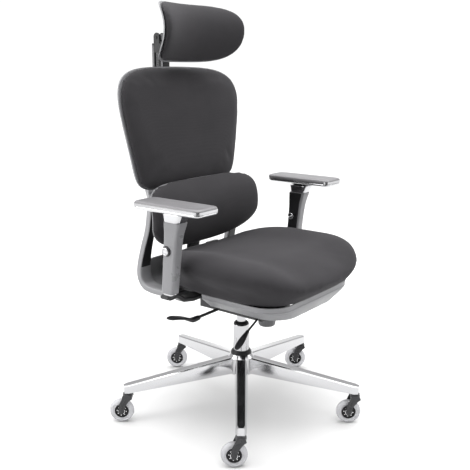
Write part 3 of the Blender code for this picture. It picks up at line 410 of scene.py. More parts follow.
stud_tree = ring_row_tree("hub_studs", bright_ring)
half = wheel_width / 2
rib_section = ((-0.0016, -0.0006), (-0.0010, 0.0011), (0.0010, 0.0011), (0.0016, -0.0006))
for number in range(1, 6):
    name = "_%d" % number
    low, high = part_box("caster_tyre" + name)
    wheel = (low + high) / 2 - column_foot
    wheel_radius = (high.z - low.z) / 2
    dressed("caster_fork" + name, "caster_fork_leg_and_stem" + name, fork_plastic, "caster%s" % name,
        "charcoal_plastic", 0.0009)
    ribs = bmesh.new()
    for side in (-1, 1):
        face = axle * (side * (half + 0.0065))
        rings = []
        for along, height in ((0.004, 0.0800), (0.0135, 0.0640), (0.0170, 0.0500), (0.0178, 0.0440)):
            spot = wheel - trail * 0.0188 + trail * along + face
            spot.z = height
            rings.append([spot + trail * a + axle * (side * b) for a, b in rib_section])
        axle_button = [(1e-7, -0.0010), (0.0052, -0.0010), (0.0046, 0.0012), (1e-7, 0.0014)]
        join(ribs, skin(rings), turn(rounded(axle_button, 0.0006), 24, wheel + face, axle * side))
    fit(new_piece("caster_fork_ribs" + name, ribs, fork_plastic), "caster" + name, "charcoal_plastic")
    hub = turn(rounded([(0.0043, -half), (0.0085, -half), (0.0100, -half + 0.0035),
        (0.0165, -half + 0.0045), (0.0190, -half + 0.0016), (0.0214, -half + 0.0022),
        (0.0214, half - 0.0022), (0.0190, half - 0.0016), (0.0165, half - 0.0045), (0.0100, half - 0.0035),
        (0.0085, half), (0.0043, half)], 0.0008, 2), 48, wheel, axle)
    fit(new_piece("wheel_hub" + name, hub, black), "wheel" + name, "black_plastic", "caster_hub" + name)
    bright = bmesh.new()
    tilt = Vector((0, 0, 1)).rotation_difference(axle).to_matrix()
    for side in (-1, 1):
        studs = grown(stud_tree, {"Count": spoke_count, "Ring Radius": 0.0138, "Stud Radius": 0.0014,
            "Stud Height": 0.0016})
        for vert in studs.verts:
            vert.co = wheel + tilt @ (vert.co + Vector((0, 0, side * (half - 0.0036))))
        join(bright, studs)
        join(bright, turn(rounded([(0.0088, half - 0.0030), (0.0088, half + 0.0004),
            (0.0104, half + 0.0004), (0.0108, half - 0.0030)], 0.0005), 40, wheel, axle * side))
    fit(new_piece("wheel_bright_trim" + name, bright, bright_ring), "wheel" + name, "chrome")
    inner = 0.0218
    tyre = turn(rounded([(inner, -half + 0.002), (inner + 0.005, -half + 0.0004),
        (inner + 0.0095, -half + 0.0012), (wheel_radius - 0.0016, -half + 0.0052), (wheel_radius, 0.0),
        (wheel_radius - 0.0016, half - 0.0052), (inner + 0.0095, half - 0.0012),
        (inner + 0.005, half - 0.0004), (inner, half - 0.002)], 0.003), 72, wheel, axle)
    fit(new_piece("wheel_tyre" + name, tyre, tyre_clear, 80.0), "wheel" + name, "clear_tyre",
        "caster_tyre" + name)

# ---- Tilt mechanism -------------------------------------------------------------------------
# A pressed steel tray, powder-coated black, with two cross pins. A coil spring sits round the
# knob's screw inside it, and the fluted plastic knob under its front winds that spring up.
powder_coat = finish_of("powder_coated_steel", (0.022, 0.022, 0.023), 0.42, 0.3, tone=0.15, grain=0.22,
    grain_scale=1500.0)
pin_steel = finish_of("pin_steel", (0.42, 0.42, 0.43), 0.30, 1.0, tone=0.08, grain=0.05)
knob_grey = finish_of("knob_plastic", (0.085, 0.085, 0.090), 0.32, tone=0.05, grain=0.08,
    grain_scale=1300.0)
dressed("tilt_housing", "mechanism_tray", powder_coat, "mechanism", "black_steel", 0.0016)
for node in ("recline_pin", "seat_pivot_pin"):
    low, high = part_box(node)
    low, high = low - column_foot, high - column_foot
    pin_radius = (high.z - low.z) / 2
    pin_centre = (low + high) / 2
    pin_half = (high.x - low.x) / 2
    fit(new_piece(node + "_turned", turn([(1e-7, -pin_half), (pin_radius - 0.001, -pin_half),
        (pin_radius, -pin_half + 0.001), (pin_radius, pin_half - 0.001), (pin_radius - 0.001, pin_half),
        (1e-7, pin_half)], 32, pin_centre, (1, 0, 0)), pin_steel), "mechanism", "spring_steel", node)


def coil_tree(material):
    """A helical spring: a spiral curve with a round wire swept along it."""
    tree, size, keys = growing_tree("coil_spring",
        dict.fromkeys(("Turns", "Coil Radius", "Free Height", "Wire Radius"), "Float"))
    helix = add_node(tree, "GeometryNodeCurveSpiral",
        {"Resolution": 28, "Rotations": size["Turns"], "Start Radius": size["Coil Radius"],
        "End Radius": size["Coil Radius"], "Height": size["Free Height"]})
    wire = add_node(tree, "GeometryNodeCurvePrimitiveCircle",
        {"Resolution": 10, "Radius": size["Wire Radius"]})
    swept = add_node(tree, "GeometryNodeCurveToMesh",
        {"Fill Caps": True, "Curve": helix.outputs["Curve"], "Profile Curve": wire.outputs["Curve"]})
    end_tree(tree, swept.outputs["Mesh"], material)
    return tree, keys


low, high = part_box("tension_spring")
low, high = low - column_foot, high - column_foot
wire_radius = 0.0013
coil = grown(coil_tree(pin_steel), {"Turns": 4.0, "Coil Radius": (high.x - low.x) / 2 - wire_radius,
    "Free Height": high.z - low.z - 2 * wire_radius, "Wire Radius": wire_radius})
for vert in coil.verts:
    vert.co += Vector(((low.x + high.x) / 2, (low.y + high.y) / 2, low.z + wire_radius))
fit(new_piece("coil_spring", coil, pin_steel, 70.0), "mechanism", "spring_steel", "tension_spring")

low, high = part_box("tension_knob")
knob_low, knob_top = low.z, low.z + 0.030
knob_centre = ((low.x + high.x) / 2 - column_foot.x, (low.y + high.y) / 2 - column_foot.y, 0)
knob_lobes = 14
knob = turn(rounded([(1e-7, knob_low + 0.0030), (0.0150, knob_low + 0.0030), (0.0165, knob_low),
    (0.0225, knob_low), (0.0258, knob_low + 0.004), (0.0284, knob_top - 0.004), (0.0262, knob_top),
    (1e-7, knob_top)], 0.0018), knob_lobes * 8, knob_centre,
    flute=lambda a: 1.0 - 0.022 * (1 - abs(math.cos(knob_lobes * a / 2))))
join(knob, cylinder(0.005, knob_top - 0.001, high.z, knob_centre, segments=24))
fit(new_piece("fluted_tension_knob", knob, knob_grey, 50.0), "knob", "grey_plastic", "tension_knob")

# ---- Levers ---------------------------------------------------------------------------------
# Two bent steel rods under the seat, each with a moulded paddle pushed over its end: the long
# one works the gas valve, the short leaf in front of it locks the tilt.
dressed("height_lever_rod", "height_rod", powder_coat, "height_lever", "black_steel", 0.0004, 2)
dressed("lock_lever_rod", "lock_rod", powder_coat, "lock_lever", "black_steel", 0.0003, 2)


def through(points, count):
    """A smooth (Catmull-Rom) run of `count` points through the given ones."""
    run = [Vector(p) for p in points]
    run = [2 * run[0] - run[1]] + run + [2 * run[-1] - run[-2]]
    smooth = []
    for step in range(count):
        place = step / (count - 1) * (len(run) - 3)
        first = min(int(place), len(run) - 4)
        t = place - first
        a, b, c, d = run[first:first + 4]
        smooth.append(0.5 * (2 * b + (c - a) * t + (2 * a - 5 * b + 4 * c - d) * t * t
            + (3 * b - a - 3 * c + d) * t ** 3))
    return smooth


def oblong(width, height, power=4.0, points=28):
    """A section between a box and an oval."""
    outline = []
    for step in range(points):
        angle = 2 * math.pi * step / points
        c, s = math.cos(angle), math.sin(angle)
        out = (abs(c) ** power + abs(s) ** power) ** (-1.0 / power)
        outline.append((width / 2 * c * out, height / 2 * s * out))
    return outline


def drawn(path, sections, side):
    """Sections carried along a path; `side` is the way that their first axis points."""
    rings = []
    side = Vector(side).normalized()
    for i, spot in enumerate(path):
        along = (path[min(i + 1, len(path) - 1)] - path[max(i - 1, 0)]).normalized()
        across = along.cross(side).normalized()
        rings.append([spot + side * a + across * b for a, b in sections[i]])
    return skin(rings)


def paddle(path, sizes, count, power):
    """A lever's grip: oblong sections of changing size on a smooth path, with a closed round tip."""
    line = through(path, count)
    size = through([(w, h, 0) for w, h in sizes], count)
    ends = [1.0] * count
    ends[0] = 0.90
    ends[-1], ends[-2] = 0.35, 0.80
    return drawn(line, [oblong(s.x * e, s.y * e, power) for s, e in zip(size, ends)], (0, 1, 0))


lever_z = 0.354
fit(new_piece("height_paddle", paddle([(-0.200, 0, lever_z - 0.001), (-0.226, 0, lever_z - 0.001),
    (-0.240, 0, lever_z + 0.003), (-0.268, 0, lever_z + 0.016), (-0.300, 0, lever_z + 0.026),
    (-0.328, 0, lever_z + 0.030)], [(0.015, 0.013), (0.018, 0.014), (0.020, 0.011), (0.030, 0.009),
    (0.036, 0.008), (0.022, 0.006)], 34, 3.0), black, 60.0), "height_lever", "black_plastic",
    "height_lever_grip")
lock_start = Vector((-0.117, -0.115, 0.314))
lock_along = Vector((-0.058, 0.0, -0.0400)).normalized()
fit(new_piece("lock_paddle", paddle([lock_start + lock_along * stop for stop in (0.0, 0.010, 0.026, 0.046,
    0.062, 0.070)], [(0.009, 0.008), (0.011, 0.010), (0.018, 0.010), (0.022, 0.008), (0.018, 0.006),
    (0.009, 0.004)], 28, 2.6), black, 60.0), "lock_lever", "black_plastic", "lock_lever_grip")

# ---- Seat board and pan ---------------------------------------------------------------------
# A black moulded board carries the foam. Under its front half hangs a grey injection-moulded
# apron with a ridge round it, open at the rear for the mechanism and screwed up from below.
pan_grey = finish_of("pan_plastic", (0.190, 0.190, 0.198), 0.38, tone=0.05, grain=0.14, grain_scale=1300.0)
dressed("seat_board", "cushion_board", black, "seat", "black_plastic", 0.0020)

pan_levels = ((0.2130, -0.2760, 0.4300), (0.2060, -0.2758, 0.4165), (0.2068, -0.2768, 0.4150),
    (0.2060, -0.2768, 0.4134), (0.1940, -0.2740, 0.4050), (0.1615, -0.2580, 0.3800),
    (0.1580, -0.2560, 0.3774))
pan_rear_y, pan_corner = -0.022, 0.075


def pan_line(half_width, front_y, shrink, z):
    """One level of the apron, from one rear end round the front to the other."""
    half, front = half_width - shrink, front_y + shrink
    end_y = pan_rear_y + 0.012 * (0.430 - z) / 0.05
    line = [Vector((-half, end_y + (front + pan_corner - end_y) * k / 6, z)) for k in range(6)]
    for start, sign in ((180, -1), (270, 1)):
        for step in range(15):
            angle = math.radians(start + 90 * step / 14)
            line.append(Vector((sign * (half - pan_corner) + pan_corner * math.cos(angle),
                front + pan_corner + pan_corner * math.sin(angle), z)))
    line += [Vector((half, front + pan_corner + (end_y - front - pan_corner) * k / 6, z)) for k in range(1,
        7)]
    return line


pan_wall = 0.004
stations = [pan_line(w, y, 0.0, z) for w, y, z in pan_levels]
stations += [pan_line(w, y, pan_wall, z) for w, y, z in reversed(pan_levels)]
fit(new_piece("seat_apron", skin([list(ring) for ring in zip(*stations)]), pan_grey, 32.0), "seat",
    "grey_plastic", "seat_pan")


def screw_row_tree(name, material):
    """Screws with tapered heads, set out along a line."""
    tree, size, keys = growing_tree(name, {"Count": "Int", "Step": "Vector", "Head Radius": "Float",
        "Head Height": "Float", "Facing": "Vector"})
    line = add_node(tree, "GeometryNodeMeshLine", {"Count": size["Count"], "Offset": size["Step"]})
    narrow = add_node(tree, "ShaderNodeMath", {0: size["Head Radius"], 1: 0.72}, operation="MULTIPLY")
    head = add_node(tree, "GeometryNodeMeshCone", {"Vertices": 20, "Side Segments": 2,
        "Radius Bottom": size["Head Radius"], "Radius Top": narrow.outputs["Value"],
        "Depth": size["Head Height"]})
    turned_to = add_node(tree, "FunctionNodeAlignRotationToVector", {"Vector": size["Facing"]}, axis="Z")
    row = add_node(tree, "GeometryNodeInstanceOnPoints",
        {"Points": line.outputs["Mesh"], "Instance": head.outputs["Mesh"],
        "Rotation": turned_to.outputs["Rotation"]})
    end_tree(tree, row.outputs["Instances"], material)
    return tree, keys


screw_tree = screw_row_tree("screw_row", black)


def screw_row(start, step, count, facing, radius=0.0045, height=0.0024):
    """Loose screws: a bmesh of `count` heads from `start` on."""
    row = grown(screw_tree, {"Count": count, "Step": step, "Head Radius": radius, "Head Height": height,
        "Facing": facing})
    bmesh.ops.translate(row, verts=row.verts, vec=Vector(start))
    return row


board_screws = screw_row((-0.150, -0.225, 0.4170), (0.300 / 3, 0, 0), 4, (0, 0, -1))
join(board_screws, screw_row((-0.155, 0.060, 0.4170), (0.310, 0, 0), 2, (0, 0, -1)))
fit(new_piece("board_screws", board_screws, black), "seat", "black_plastic")

# ---- Seat cushion ---------------------------------------------------------------------------
# Moulded foam in a cover of fine knitted cloth: broad at the front, drawn in at the rear, with
# raised sides and a front that rolls over, pulled down tight to its board.


def knit(name, colour, sheen=0.07, thread=0.0013):
    """Upholstery cloth: a fine three-way knit, uneven in colour, with a soft bloom at its edges."""
    made = bpy.data.materials.new(name)
    made.use_nodes = True
    tree = made.node_tree
    shader = tree.nodes["Principled BSDF"]
    for socket, value in (("Roughness", 0.88), ("Specular IOR Level", 0.16), ("Sheen Weight", sheen),
                          ("Sheen Roughness", 0.42), ("Sheen Tint", (0.92, 0.90, 0.95, 1.0))):
        shader.inputs[socket].default_value = value
    place = add_node(tree, "ShaderNodeTexCoord").outputs["Object"]
    total = None
    for direction in ("X", "Y", "Z"):
        wale = add_node(tree, "ShaderNodeTexWave", {"Scale": 0.314 / thread, "Distortion": 0.9,
            "Detail": 1.0, "Detail Scale": 2.0, "Vector": place}, wave_type="BANDS",
            bands_direction=direction).outputs["Fac"]
        if total is None:
            total = wale
        else:
            total = add_node(tree, "ShaderNodeMath", {0: total, 1: wale}, operation="ADD").outputs["Value"]
    fuzz = add_node(tree, "ShaderNodeTexNoise", {"Scale": 420.0, "Detail": 3.0, "Vector": place})
    raised = add_node(tree, "ShaderNodeMath", {0: total, 1: 0.33, 2: fuzz.outputs["Fac"]},
        operation="MULTIPLY_ADD").outputs["Value"]
    bump = add_node(tree, "ShaderNodeBump", {"Strength": 0.30, "Distance": 0.0004, "Height": raised})
    tree.links.new(bump.outputs["Normal"], shader.inputs["Normal"])
    patches = add_node(tree, "ShaderNodeTexNoise", {"Scale": 7.0, "Detail": 5.0, "Vector": place})
    blend = add_node(tree, "ShaderNodeMath", {0: raised, 1: 0.30, 2: patches.outputs["Fac"]},
        operation="MULTIPLY_ADD")
    spread = add_node(tree, "ShaderNodeMapRange", {"From Min": 0.55, "From Max": 1.05,
        "Value": blend.outputs["Value"]})
    tint = add_node(tree, "ShaderNodeMix", {"A": (*[c * 0.86 for c in colour], 1.0),
        "B": (*[c * 1.14 for c in colour], 1.0), "Factor": spread.outputs["Result"]}, data_type="RGBA")
    tree.links.new(tint.outputs["Result"], shader.inputs["Base Color"])
    return made


cloth = knit("charcoal_knit", (0.0275, 0.0263, 0.0285))


def swollen(piece, voxel, held, cap):
    """Inflates a cover over its foam: remesh, cloth under pressure, a capped move, one subdivision."""
    skin_step = piece.modifiers.new("even_mesh", "REMESH")
    skin_step.mode = "VOXEL"
    skin_step.voxel_size = voxel
    settled(piece)
    rest = np.empty(len(piece.data.vertices) * 3)
    piece.data.vertices.foreach_get("co", rest)
    rest = rest.reshape(-1, 3)
    group = piece.vertex_groups.new(name="held")
    group.add([i for i, spot in enumerate(rest) if held(Vector(spot) - column_foot)], 1.0, "REPLACE")
    stuffing = piece.modifiers.new("stuffing", "CLOTH")
    stuffing.settings.quality = 5
    stuffing.settings.mass = 0.25
    stuffing.settings.tension_stiffness = 12
    stuffing.settings.compression_stiffness = 12
    stuffing.settings.shear_stiffness = 6
    stuffing.settings.bending_stiffness = 1.5
    stuffing.settings.use_pressure = True
    stuffing.settings.uniform_pressure_force = 1.5
    stuffing.settings.effector_weights.gravity = 0.0
    stuffing.settings.vertex_group_mass = "held"
    stuffing.collision_settings.use_collision = False
    stuffing.point_cache.frame_start, stuffing.point_cache.frame_end = 1, 20
    for frame_number in range(1, 21):
        scene.frame_set(frame_number)
    settled(piece)
    scene.frame_set(1)
    moved = np.empty(len(rest) * 3)
    piece.data.vertices.foreach_get("co", moved)
    step = moved.reshape(-1, 3) - rest
    length = np.linalg.norm(step, axis=1, keepdims=True)
    step *= np.minimum(1.0, cap / np.maximum(length, 1e-9))
    piece.data.vertices.foreach_set("co", (rest + step).ravel())
    taut = piece.modifiers.new("taut", "SMOOTH")
    taut.factor = 0.5
    taut.iterations = 16
    taut.vertex_group = "held"
    taut.invert_vertex_group = True
    finer = piece.modifiers.new("finer", "SUBSURF")
    finer.levels = finer.render_levels = 1
    settled(piece)
    piece.vertex_groups.clear()
    piece.data.shade_smooth()
    print(piece.name, "swelled", round(float(length.max()) * 1000, 1), "mm, cap", cap * 1000)
    return piece


def ease(value):
    value = min(max(value, 0.0), 1.0)
    return value * value * (3.0 - 2.0 * value)


def round_rim(power):
    """A unit outline between a circle and a square."""
    def spot(angle):
        c, s = math.cos(angle), math.sin(angle)
        out = (abs(c) ** power + abs(s) ** power) ** (-1.0 / power)
        return c * out, s * out
    return spot


seat_bottom, seat_top = 0.4303, 0.544
seat_half, seat_front, seat_rear = 0.276, -0.325, 0.228
seat_middle, seat_half_depth = (seat_front + seat_rear) / 2, (seat_rear - seat_front) / 2


def seat_outline(angle, lower):
    s, t = round_rim(3.5 + 0.9 * lower)(angle)
    front_y = seat_front + (-0.2840 - seat_front) * lower
    rear_y = seat_rear + (0.2050 - seat_rear) * lower
    half = seat_half + (0.2240 - seat_half) * lower
    draw_in = 1.0 - 0.29 * max(t + 0.1, 0.0) ** 1.7 - 0.04 * max(-t, 0.0) ** 3
    return s * draw_in * half, (front_y + rear_y) / 2 + t * (rear_y - front_y) / 2


def seat_crown(x, y):
    across = min(abs(x) / seat_half, 1.0)
    along = (y - seat_middle) / seat_half_depth
    side_roll = 0.020 * math.exp(-((across - 0.78) / 0.26) ** 2)
    front_roll = 0.034 * (max(-along - 0.45, 0.0) / 0.55) ** 1.6
    rear_drop = 0.044 * max(along - 0.1, 0.0) ** 1.5
    return seat_top - 0.018 - seat_bottom + side_roll - front_roll - rear_drop


# Levels of the cushion: how far out, what share of its height, how far the side has drawn in.
seat_levels = through([(0.0, 1.0, 0.0), (0.35, 1.0, 0.0), (0.62, 1.0, 0.0), (0.80, 0.995, 0.0),
    (0.905, 0.955, 0.0), (0.965, 0.86, 0.0), (1.0, 0.64, 0.0), (1.0, 0.42, 0.28), (1.0, 0.18, 0.72),
    (1.0, 0.03, 0.98)], 46)
seat_levels += [Vector((reach_in, 0.0, 1.0)) for reach_in in (0.975, 0.7, 0.35, 0.0)]
seat_points = 144
upholstery = bmesh.new()
rings = []
for reach_out, tall, lower in seat_levels:
    reach_out, lower = min(max(reach_out, 0.0), 1.0), min(max(lower, 0.0), 1.0)
    ring = []
    for step in range(seat_points):
        x, y = seat_outline(2 * math.pi * step / seat_points, lower)
        x, y = x * reach_out, seat_middle + (y - seat_middle) * reach_out
        sideways = ease((abs(x) / seat_half - 0.62) / 0.25) * ease((0.30 - y / seat_rear) / 0.2 + 0.8)
        fuller = min(max(tall, 0.0), 1.0)
        fuller += (fuller ** 0.55 - fuller) * 0.75 * sideways * ease((y - seat_front) / 0.09)
        ring.append(upholstery.verts.new((x, y, seat_bottom + seat_crown(x, y) * fuller)))
    rings.append(ring)
for inner, outer in zip(rings, rings[1:]):
    for i in range(seat_points):
        j = (i + 1) % seat_points
        upholstery.faces.new((inner[i], outer[i], outer[j], inner[j]))
seat_cover = new_piece("seat_upholstery", upholstery, cloth, 180.0)
swollen(seat_cover, 0.0065, lambda spot: spot.z < seat_bottom + 0.012, 0.003)
fit(seat_cover, "seat", "seat_fabric", "seat_cushion")

# ---- Arms -----------------------------------------------------------------------------------
# A black steel bracket under the seat carries each leaning post. A moulded sleeve slides on it,
# with a push knob through it, a polished collar over it, and a tray with a foam pad on top.
sleeve_plastic = finish_of("sleeve_plastic", (0.190, 0.190, 0.198), 0.32, tone=0.04, grain=0.08,
    grain_scale=1300.0)
arm_foam = finish_of("armrest_foam", (0.145, 0.142, 0.148), 0.36, tone=0.06, smudge=0.06, grain=0.30,
    grain_scale=520.0)


def rounded_plan(width, depth, radius, steps):
    """A rectangle with round corners, centred on nothing, as (a, b) pairs."""
    outline = []
    for quarter in range(4):
        a_sign, b_sign = (1, -1, -1, 1)[quarter], (1, 1, -1, -1)[quarter]
        for step in range(steps + 1):
            angle = math.radians(90 * quarter + 90 * step / steps)
            outline.append((a_sign * (width / 2 - radius) + radius * math.cos(angle),
                b_sign * (depth / 2 - radius) + radius * math.sin(angle)))
    return outline


def post_ring(side, z, width, depth, radius, shift=0.0):
    """One level round an arm's leaning post."""
    forward = 0.35 * max(depth - 0.041, 0.0)
    return [Vector((side * arm_x + shift + a, 0.014 - 0.098 * (z - 0.455) - forward + b, z)) for a,
        b in rounded_plan(width, depth, min(radius, width * 0.45), 8)]


def bored(piece):
    """Drills a piece for the lock pin at `pin_at`."""
    drill = new_piece("drill", cylinder(lock_bore, -0.04, 0.04, pin_at, (1, 0, 0)), black)
    hole = piece.modifiers.new("hole", "BOOLEAN")
    hole.operation = "DIFFERENCE"
    hole.solver = "EXACT"
    hole.object = drill
    settled(piece)
    bpy.data.objects.remove(drill, do_unlink=True)
    return piece


arm_x, armrest_x, armrest_y = 0.302, 0.312, -0.019
lock_bore = 0.0074
# Height, width and depth of the sleeve and of the collar over it; both spread towards the pad.
sleeve_levels = ((0.4553, 0.0300, 0.0405), (0.4570, 0.0314, 0.0422), (0.5400, 0.0322, 0.0442),
    (0.5850, 0.0330, 0.0456), (0.6100, 0.0340, 0.0478), (0.6270, 0.0358, 0.0510), (0.6410, 0.0384, 0.0546),
    (0.6515, 0.0402, 0.0566), (0.6530, 0.0394, 0.0556))
collar_levels = ((0.6533, 0.0405, 0.0560), (0.6545, 0.0420, 0.0575), (0.6640, 0.0450, 0.0618),
    (0.6720, 0.0482, 0.0660), (0.6765, 0.0498, 0.0680), (0.6775, 0.0488, 0.0670))
pad_width, pad_length, pad_low, pad_top = 0.087, 0.240, 0.6923, 0.706
# Height, inset and corner radius of the tray and of the foam on it.
tray_levels = ((0.6830, 0.0062, 0.0150), (0.6833, 0.0050, 0.0158), (0.6872, 0.0006, 0.0195),
    (0.6880, 0.0001, 0.0199), (0.6912, 0.0000, 0.0200), (0.6919, 0.0006, 0.0195), (0.6920, 0.0016, 0.0190))
foam_levels = ((pad_low, 0.0024, 0.0180), (pad_low + 0.0006, 0.0009, 0.0192),
    (pad_low + 0.0022, 0.0, 0.0200), (pad_top - 0.0058, 0.0, 0.0200), (pad_top - 0.0034, 0.0008, 0.0196),
    (pad_top - 0.0015, 0.0030, 0.0185), (pad_top - 0.0004, 0.0062, 0.0165), (pad_top, 0.0105, 0.0140),
    (pad_top - 0.0002, 0.0200, 0.0100), (pad_top - 0.0004, 0.0330, 0.0060))
for side, hand in ((-1, "right"), (1, "left")):
    dressed(hand + "_arm_bracket", hand + "_bracket", powder_coat, "seat", "black_steel", 0.0014)
    dressed(hand + "_arm_ferrule", hand + "_ferrule", polished, "seat", "polished_aluminium", 0.0009)
    sleeve = skin([post_ring(side, *level, 0.0070) for level in through(sleeve_levels, 65)]
        + [post_ring(side, z, 0.0205, 0.0245, 0.0030) for z in (0.641, 0.4553)], looped=True)
    low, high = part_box(hand + "_arm_lock_pin")
    pin_at = (low + high) / 2 - column_foot
    pin_at.x = side * arm_x
    sleeve = bored(new_piece(hand + "_sleeve", sleeve, sleeve_plastic, 42.0))
    fit(sleeve, hand + "_arm", "charcoal_plastic", hand + "_arm_sleeve")
    # A black strip on the sleeve's inner face: painted shade for the dark that the cushions beside it cast
    # and reflect onto that face.
    inner_shade_strip = skin([post_ring(side, z, 0.0036, d - 0.0085, 0.0012, -side * (w / 2 - 0.0010))
        for z, w, d in through(sleeve_levels[1:-1], 60)])
    inner_shade_strip = bored(new_piece(hand + "_sleeve_painted_shade", inner_shade_strip, black, 42.0))
    knob_rings = turn(rounded([(0.0118, 0.0155), (0.0118, 0.0178), (0.0144, 0.0174), (0.0148, 0.0155)],
        0.0006, 2), 48, pin_at, (side, 0, 0))
    join(knob_rings, turn(rounded([(0.0108, -0.0188), (0.0108, -0.0162), (0.0134, -0.0162),
        (0.0130, -0.0186)], 0.0005, 2), 48, pin_at, (side, 0, 0)))
    fit(inner_shade_strip, hand + "_arm", "black_plastic")
    fit(new_piece(hand + "_knob_rings", knob_rings, black), hand + "_arm", "black_plastic")
    collar = skin([post_ring(side, *level, 0.0120) for level in collar_levels])
    fit(new_piece(hand + "_collar", collar, polished, 50.0), hand + "_arm", "polished_aluminium",
        hand + "_arm_collar")
    fit(new_piece(hand + "_push_knob", turn(rounded([(1e-7, -0.0236), (0.0090, -0.0236), (0.0102, -0.0224),
        (0.0102, -0.0196), (0.0065, -0.0190), (0.0065, 0.0192), (0.0110, 0.0192), (0.0110, 0.0236),
        (0.0080, 0.0245), (0.0074, 0.0228), (1e-7, 0.0228)], 0.0007, 3), 56, pin_at, (side, 0, 0)),
        chrome), hand + "_lock", "chrome", hand + "_arm_lock_pin")
    dressed(hand + "_arm_pivot_plate", hand + "_pivot_disc", black, hand + "_pivot", "black_plastic",
        0.0005, 2)

    def pad_ring(z, inset, radius):
        plan = rounded_plan(pad_width - 2 * inset, pad_length - 2 * inset, radius, 12)
        return [Vector((side * armrest_x + a, armrest_y + b, z)) for a, b in plan]

    tray = skin([pad_ring(*level) for level in tray_levels])
    fit(new_piece(hand + "_pad_tray", tray, polished, 50.0), hand + "_pad", "polished_aluminium",
        hand + "_arm_pad_tray")
    trim = []
    loops = [pad_ring(z, inset, 0.0200) for z, inset in ((0.6926, 0.0012), (0.6926, -0.0008),
        (0.7000, -0.0008), (0.7004, 0.0012))]
    corner = 13
    order = list(range(6, -1, -1)) + list(range(4 * corner - 1, 2 * corner - 1, -1))
    for index in order:
        ring = [loop[index].copy() for loop in loops]
        for spot in ring:
            spot.x = side * (armrest_x + spot.x - side * armrest_x)
        trim.append(ring)
    fit(new_piece(hand + "_pad_trim", skin(trim), polished, 50.0), hand + "_pad", "polished_aluminium")
    foam_pad = new_piece(hand + "_armrest_foam", skin([pad_ring(*level) for level in foam_levels]),
        arm_foam, 60.0)
    fit(foam_pad, hand + "_pad", "armrest_foam", hand + "_arm_pad")
    fit(new_piece(hand + "_tray_screws", screw_row((side * armrest_x, armrest_y - 0.080, 0.6828),
        (0, 0.160, 0), 2, (0, 0, -1), 0.0050, 0.0016), black), hand + "_pad", "black_plastic")

# ---- Back frame -----------------------------------------------------------------------------
# A steel yoke turns on the rear pin. Two moulded rails rise from its ends, broad at the bend,
# each with a black strip of painted shade on its front, and run in behind the upper back to a cross beam.
rail_grey = finish_of("rail_plastic", (0.205, 0.205, 0.213), 0.34, tone=0.04, grain=0.10,
    grain_scale=1300.0)
dressed("back_yoke", "steel_yoke", powder_coat, "back", "black_steel", 0.0015)
dressed("back_spine", "spine_moulding", black, "back", "black_plastic", 0.0018)
rail_centre = ((0.205, 0.112, 0.4078), (0.205, 0.160, 0.4078), (0.205, 0.193, 0.4138),
    (0.205, 0.210, 0.4330), (0.205, 0.215, 0.4600), (0.205, 0.210, 0.4950), (0.205, 0.198, 0.5400),
    (0.205, 0.184, 0.5850), (0.204, 0.178, 0.6250), (0.200, 0.179, 0.6500), (0.189, 0.189, 0.6690),
    (0.169, 0.212, 0.6775), (0.147, 0.238, 0.6865), (0.130, 0.258, 0.7080), (0.124, 0.264, 0.7240))
rail_steps = 90
strut_x, strut_steps = 0.058, 44
strut_bends = ((0.132, 0.379), (0.190, 0.386), (0.228, 0.400), (0.247, 0.430), (0.248, 0.480),
    (0.228, 0.540), (0.196, 0.590))
for side, hand in ((-1, "right"), (1, "left")):
    line = through([(side * x, y, z) for x, y, z in rail_centre], rail_steps)
    widths = [0.046 - 0.020 * ease((step / (rail_steps - 1) * 14 - 3) / 5) for step in range(rail_steps)]
    fit(new_piece(hand + "_rail", drawn(line, [oblong(w, 0.0195, 7.0, 40) for w in widths], (1, 0, 0)),
        rail_grey, 55.0), "back", "grey_plastic", hand + "_back_rail")
    # A black strip along each rail's front face: painted shade standing for the shadow on that face.
    front_shade_span = range(28, 66)
    front_shade_strip = drawn([line[i] for i in front_shade_span], [[(a, b - 0.0088) for a,
        b in oblong(widths[i] - 0.0036, 0.0030, 6.0, 20)] for i in front_shade_span], (1, 0, 0))
    fit(new_piece(hand + "_rail_painted_shade", front_shade_strip, black, 50.0), "back", "black_plastic")
    web = []
    for step in range(15):
        inward = step / 14
        x = side * (0.203 - 0.098 * inward)
        top_z = 0.452 + 0.031 * math.sin(math.pi / 2 * min(inward / 0.55, 1.0))
        back_out = 0.013 * ease(inward / 0.35)
        line = through([(0.150, 0.4045, 0), (0.186, 0.4065, 0), (0.206 + back_out * 0.7, 0.4180, 0),
            (0.213 + back_out, 0.4380, 0), (0.2145 + back_out, top_z, 0)], 22)
        ring = [Vector((x, spot.x, spot.y)) for spot in line]
        for i in range(len(line) - 1, -1, -1):
            along = (line[min(i + 1, len(line) - 1)] - line[max(i - 1, 0)]).normalized()
            ring.append(Vector((x, line[i].x + along.y * 0.005, line[i].y - along.x * 0.005)))
        web.append(ring)
    fit(new_piece(hand + "_rail_web", skin(web), rail_grey, 50.0), "back", "grey_plastic")
    strut_line = through([(side * strut_x, y, z) for y, z in strut_bends], strut_steps)
    strut = drawn(strut_line, [oblong(0.058, 0.010, 6.0, 28)] * strut_steps, (1, 0, 0))
    fit(new_piece(hand + "_lumbar_strut", strut, black, 50.0), "back", "black_plastic")
yoke_screws = screw_row((-0.192, 0.129, 0.3795), (0.384, 0, 0), 2, (0, 0, -1), 0.0065, 0.0030)
fit(new_piece("yoke_screws", yoke_screws, black), "back", "black_plastic")

# ---- Upper back -----------------------------------------------------------------------------
# A thin foam pad under taut knitted cloth, its edge tucked behind a grey moulded shell that
# stands off it by a shadow gap. The shell is screwed to the spine and the cross beam.
back_low, back_high = 0.702, 1.050
back_mid = (back_low + back_high) / 2
shell_gap = 0.0025


def back_face(x, z):
    up = (z - back_low) / (back_high - back_low)
    lean = 0.200 + 0.055 * up + 0.008 * (2 * up - 1) ** 2
    return lean + (0.10 - 0.40 * up) * x * x


def back_sheet(s, t):
    return Vector((s, back_face(s, back_mid + t), back_mid + t))


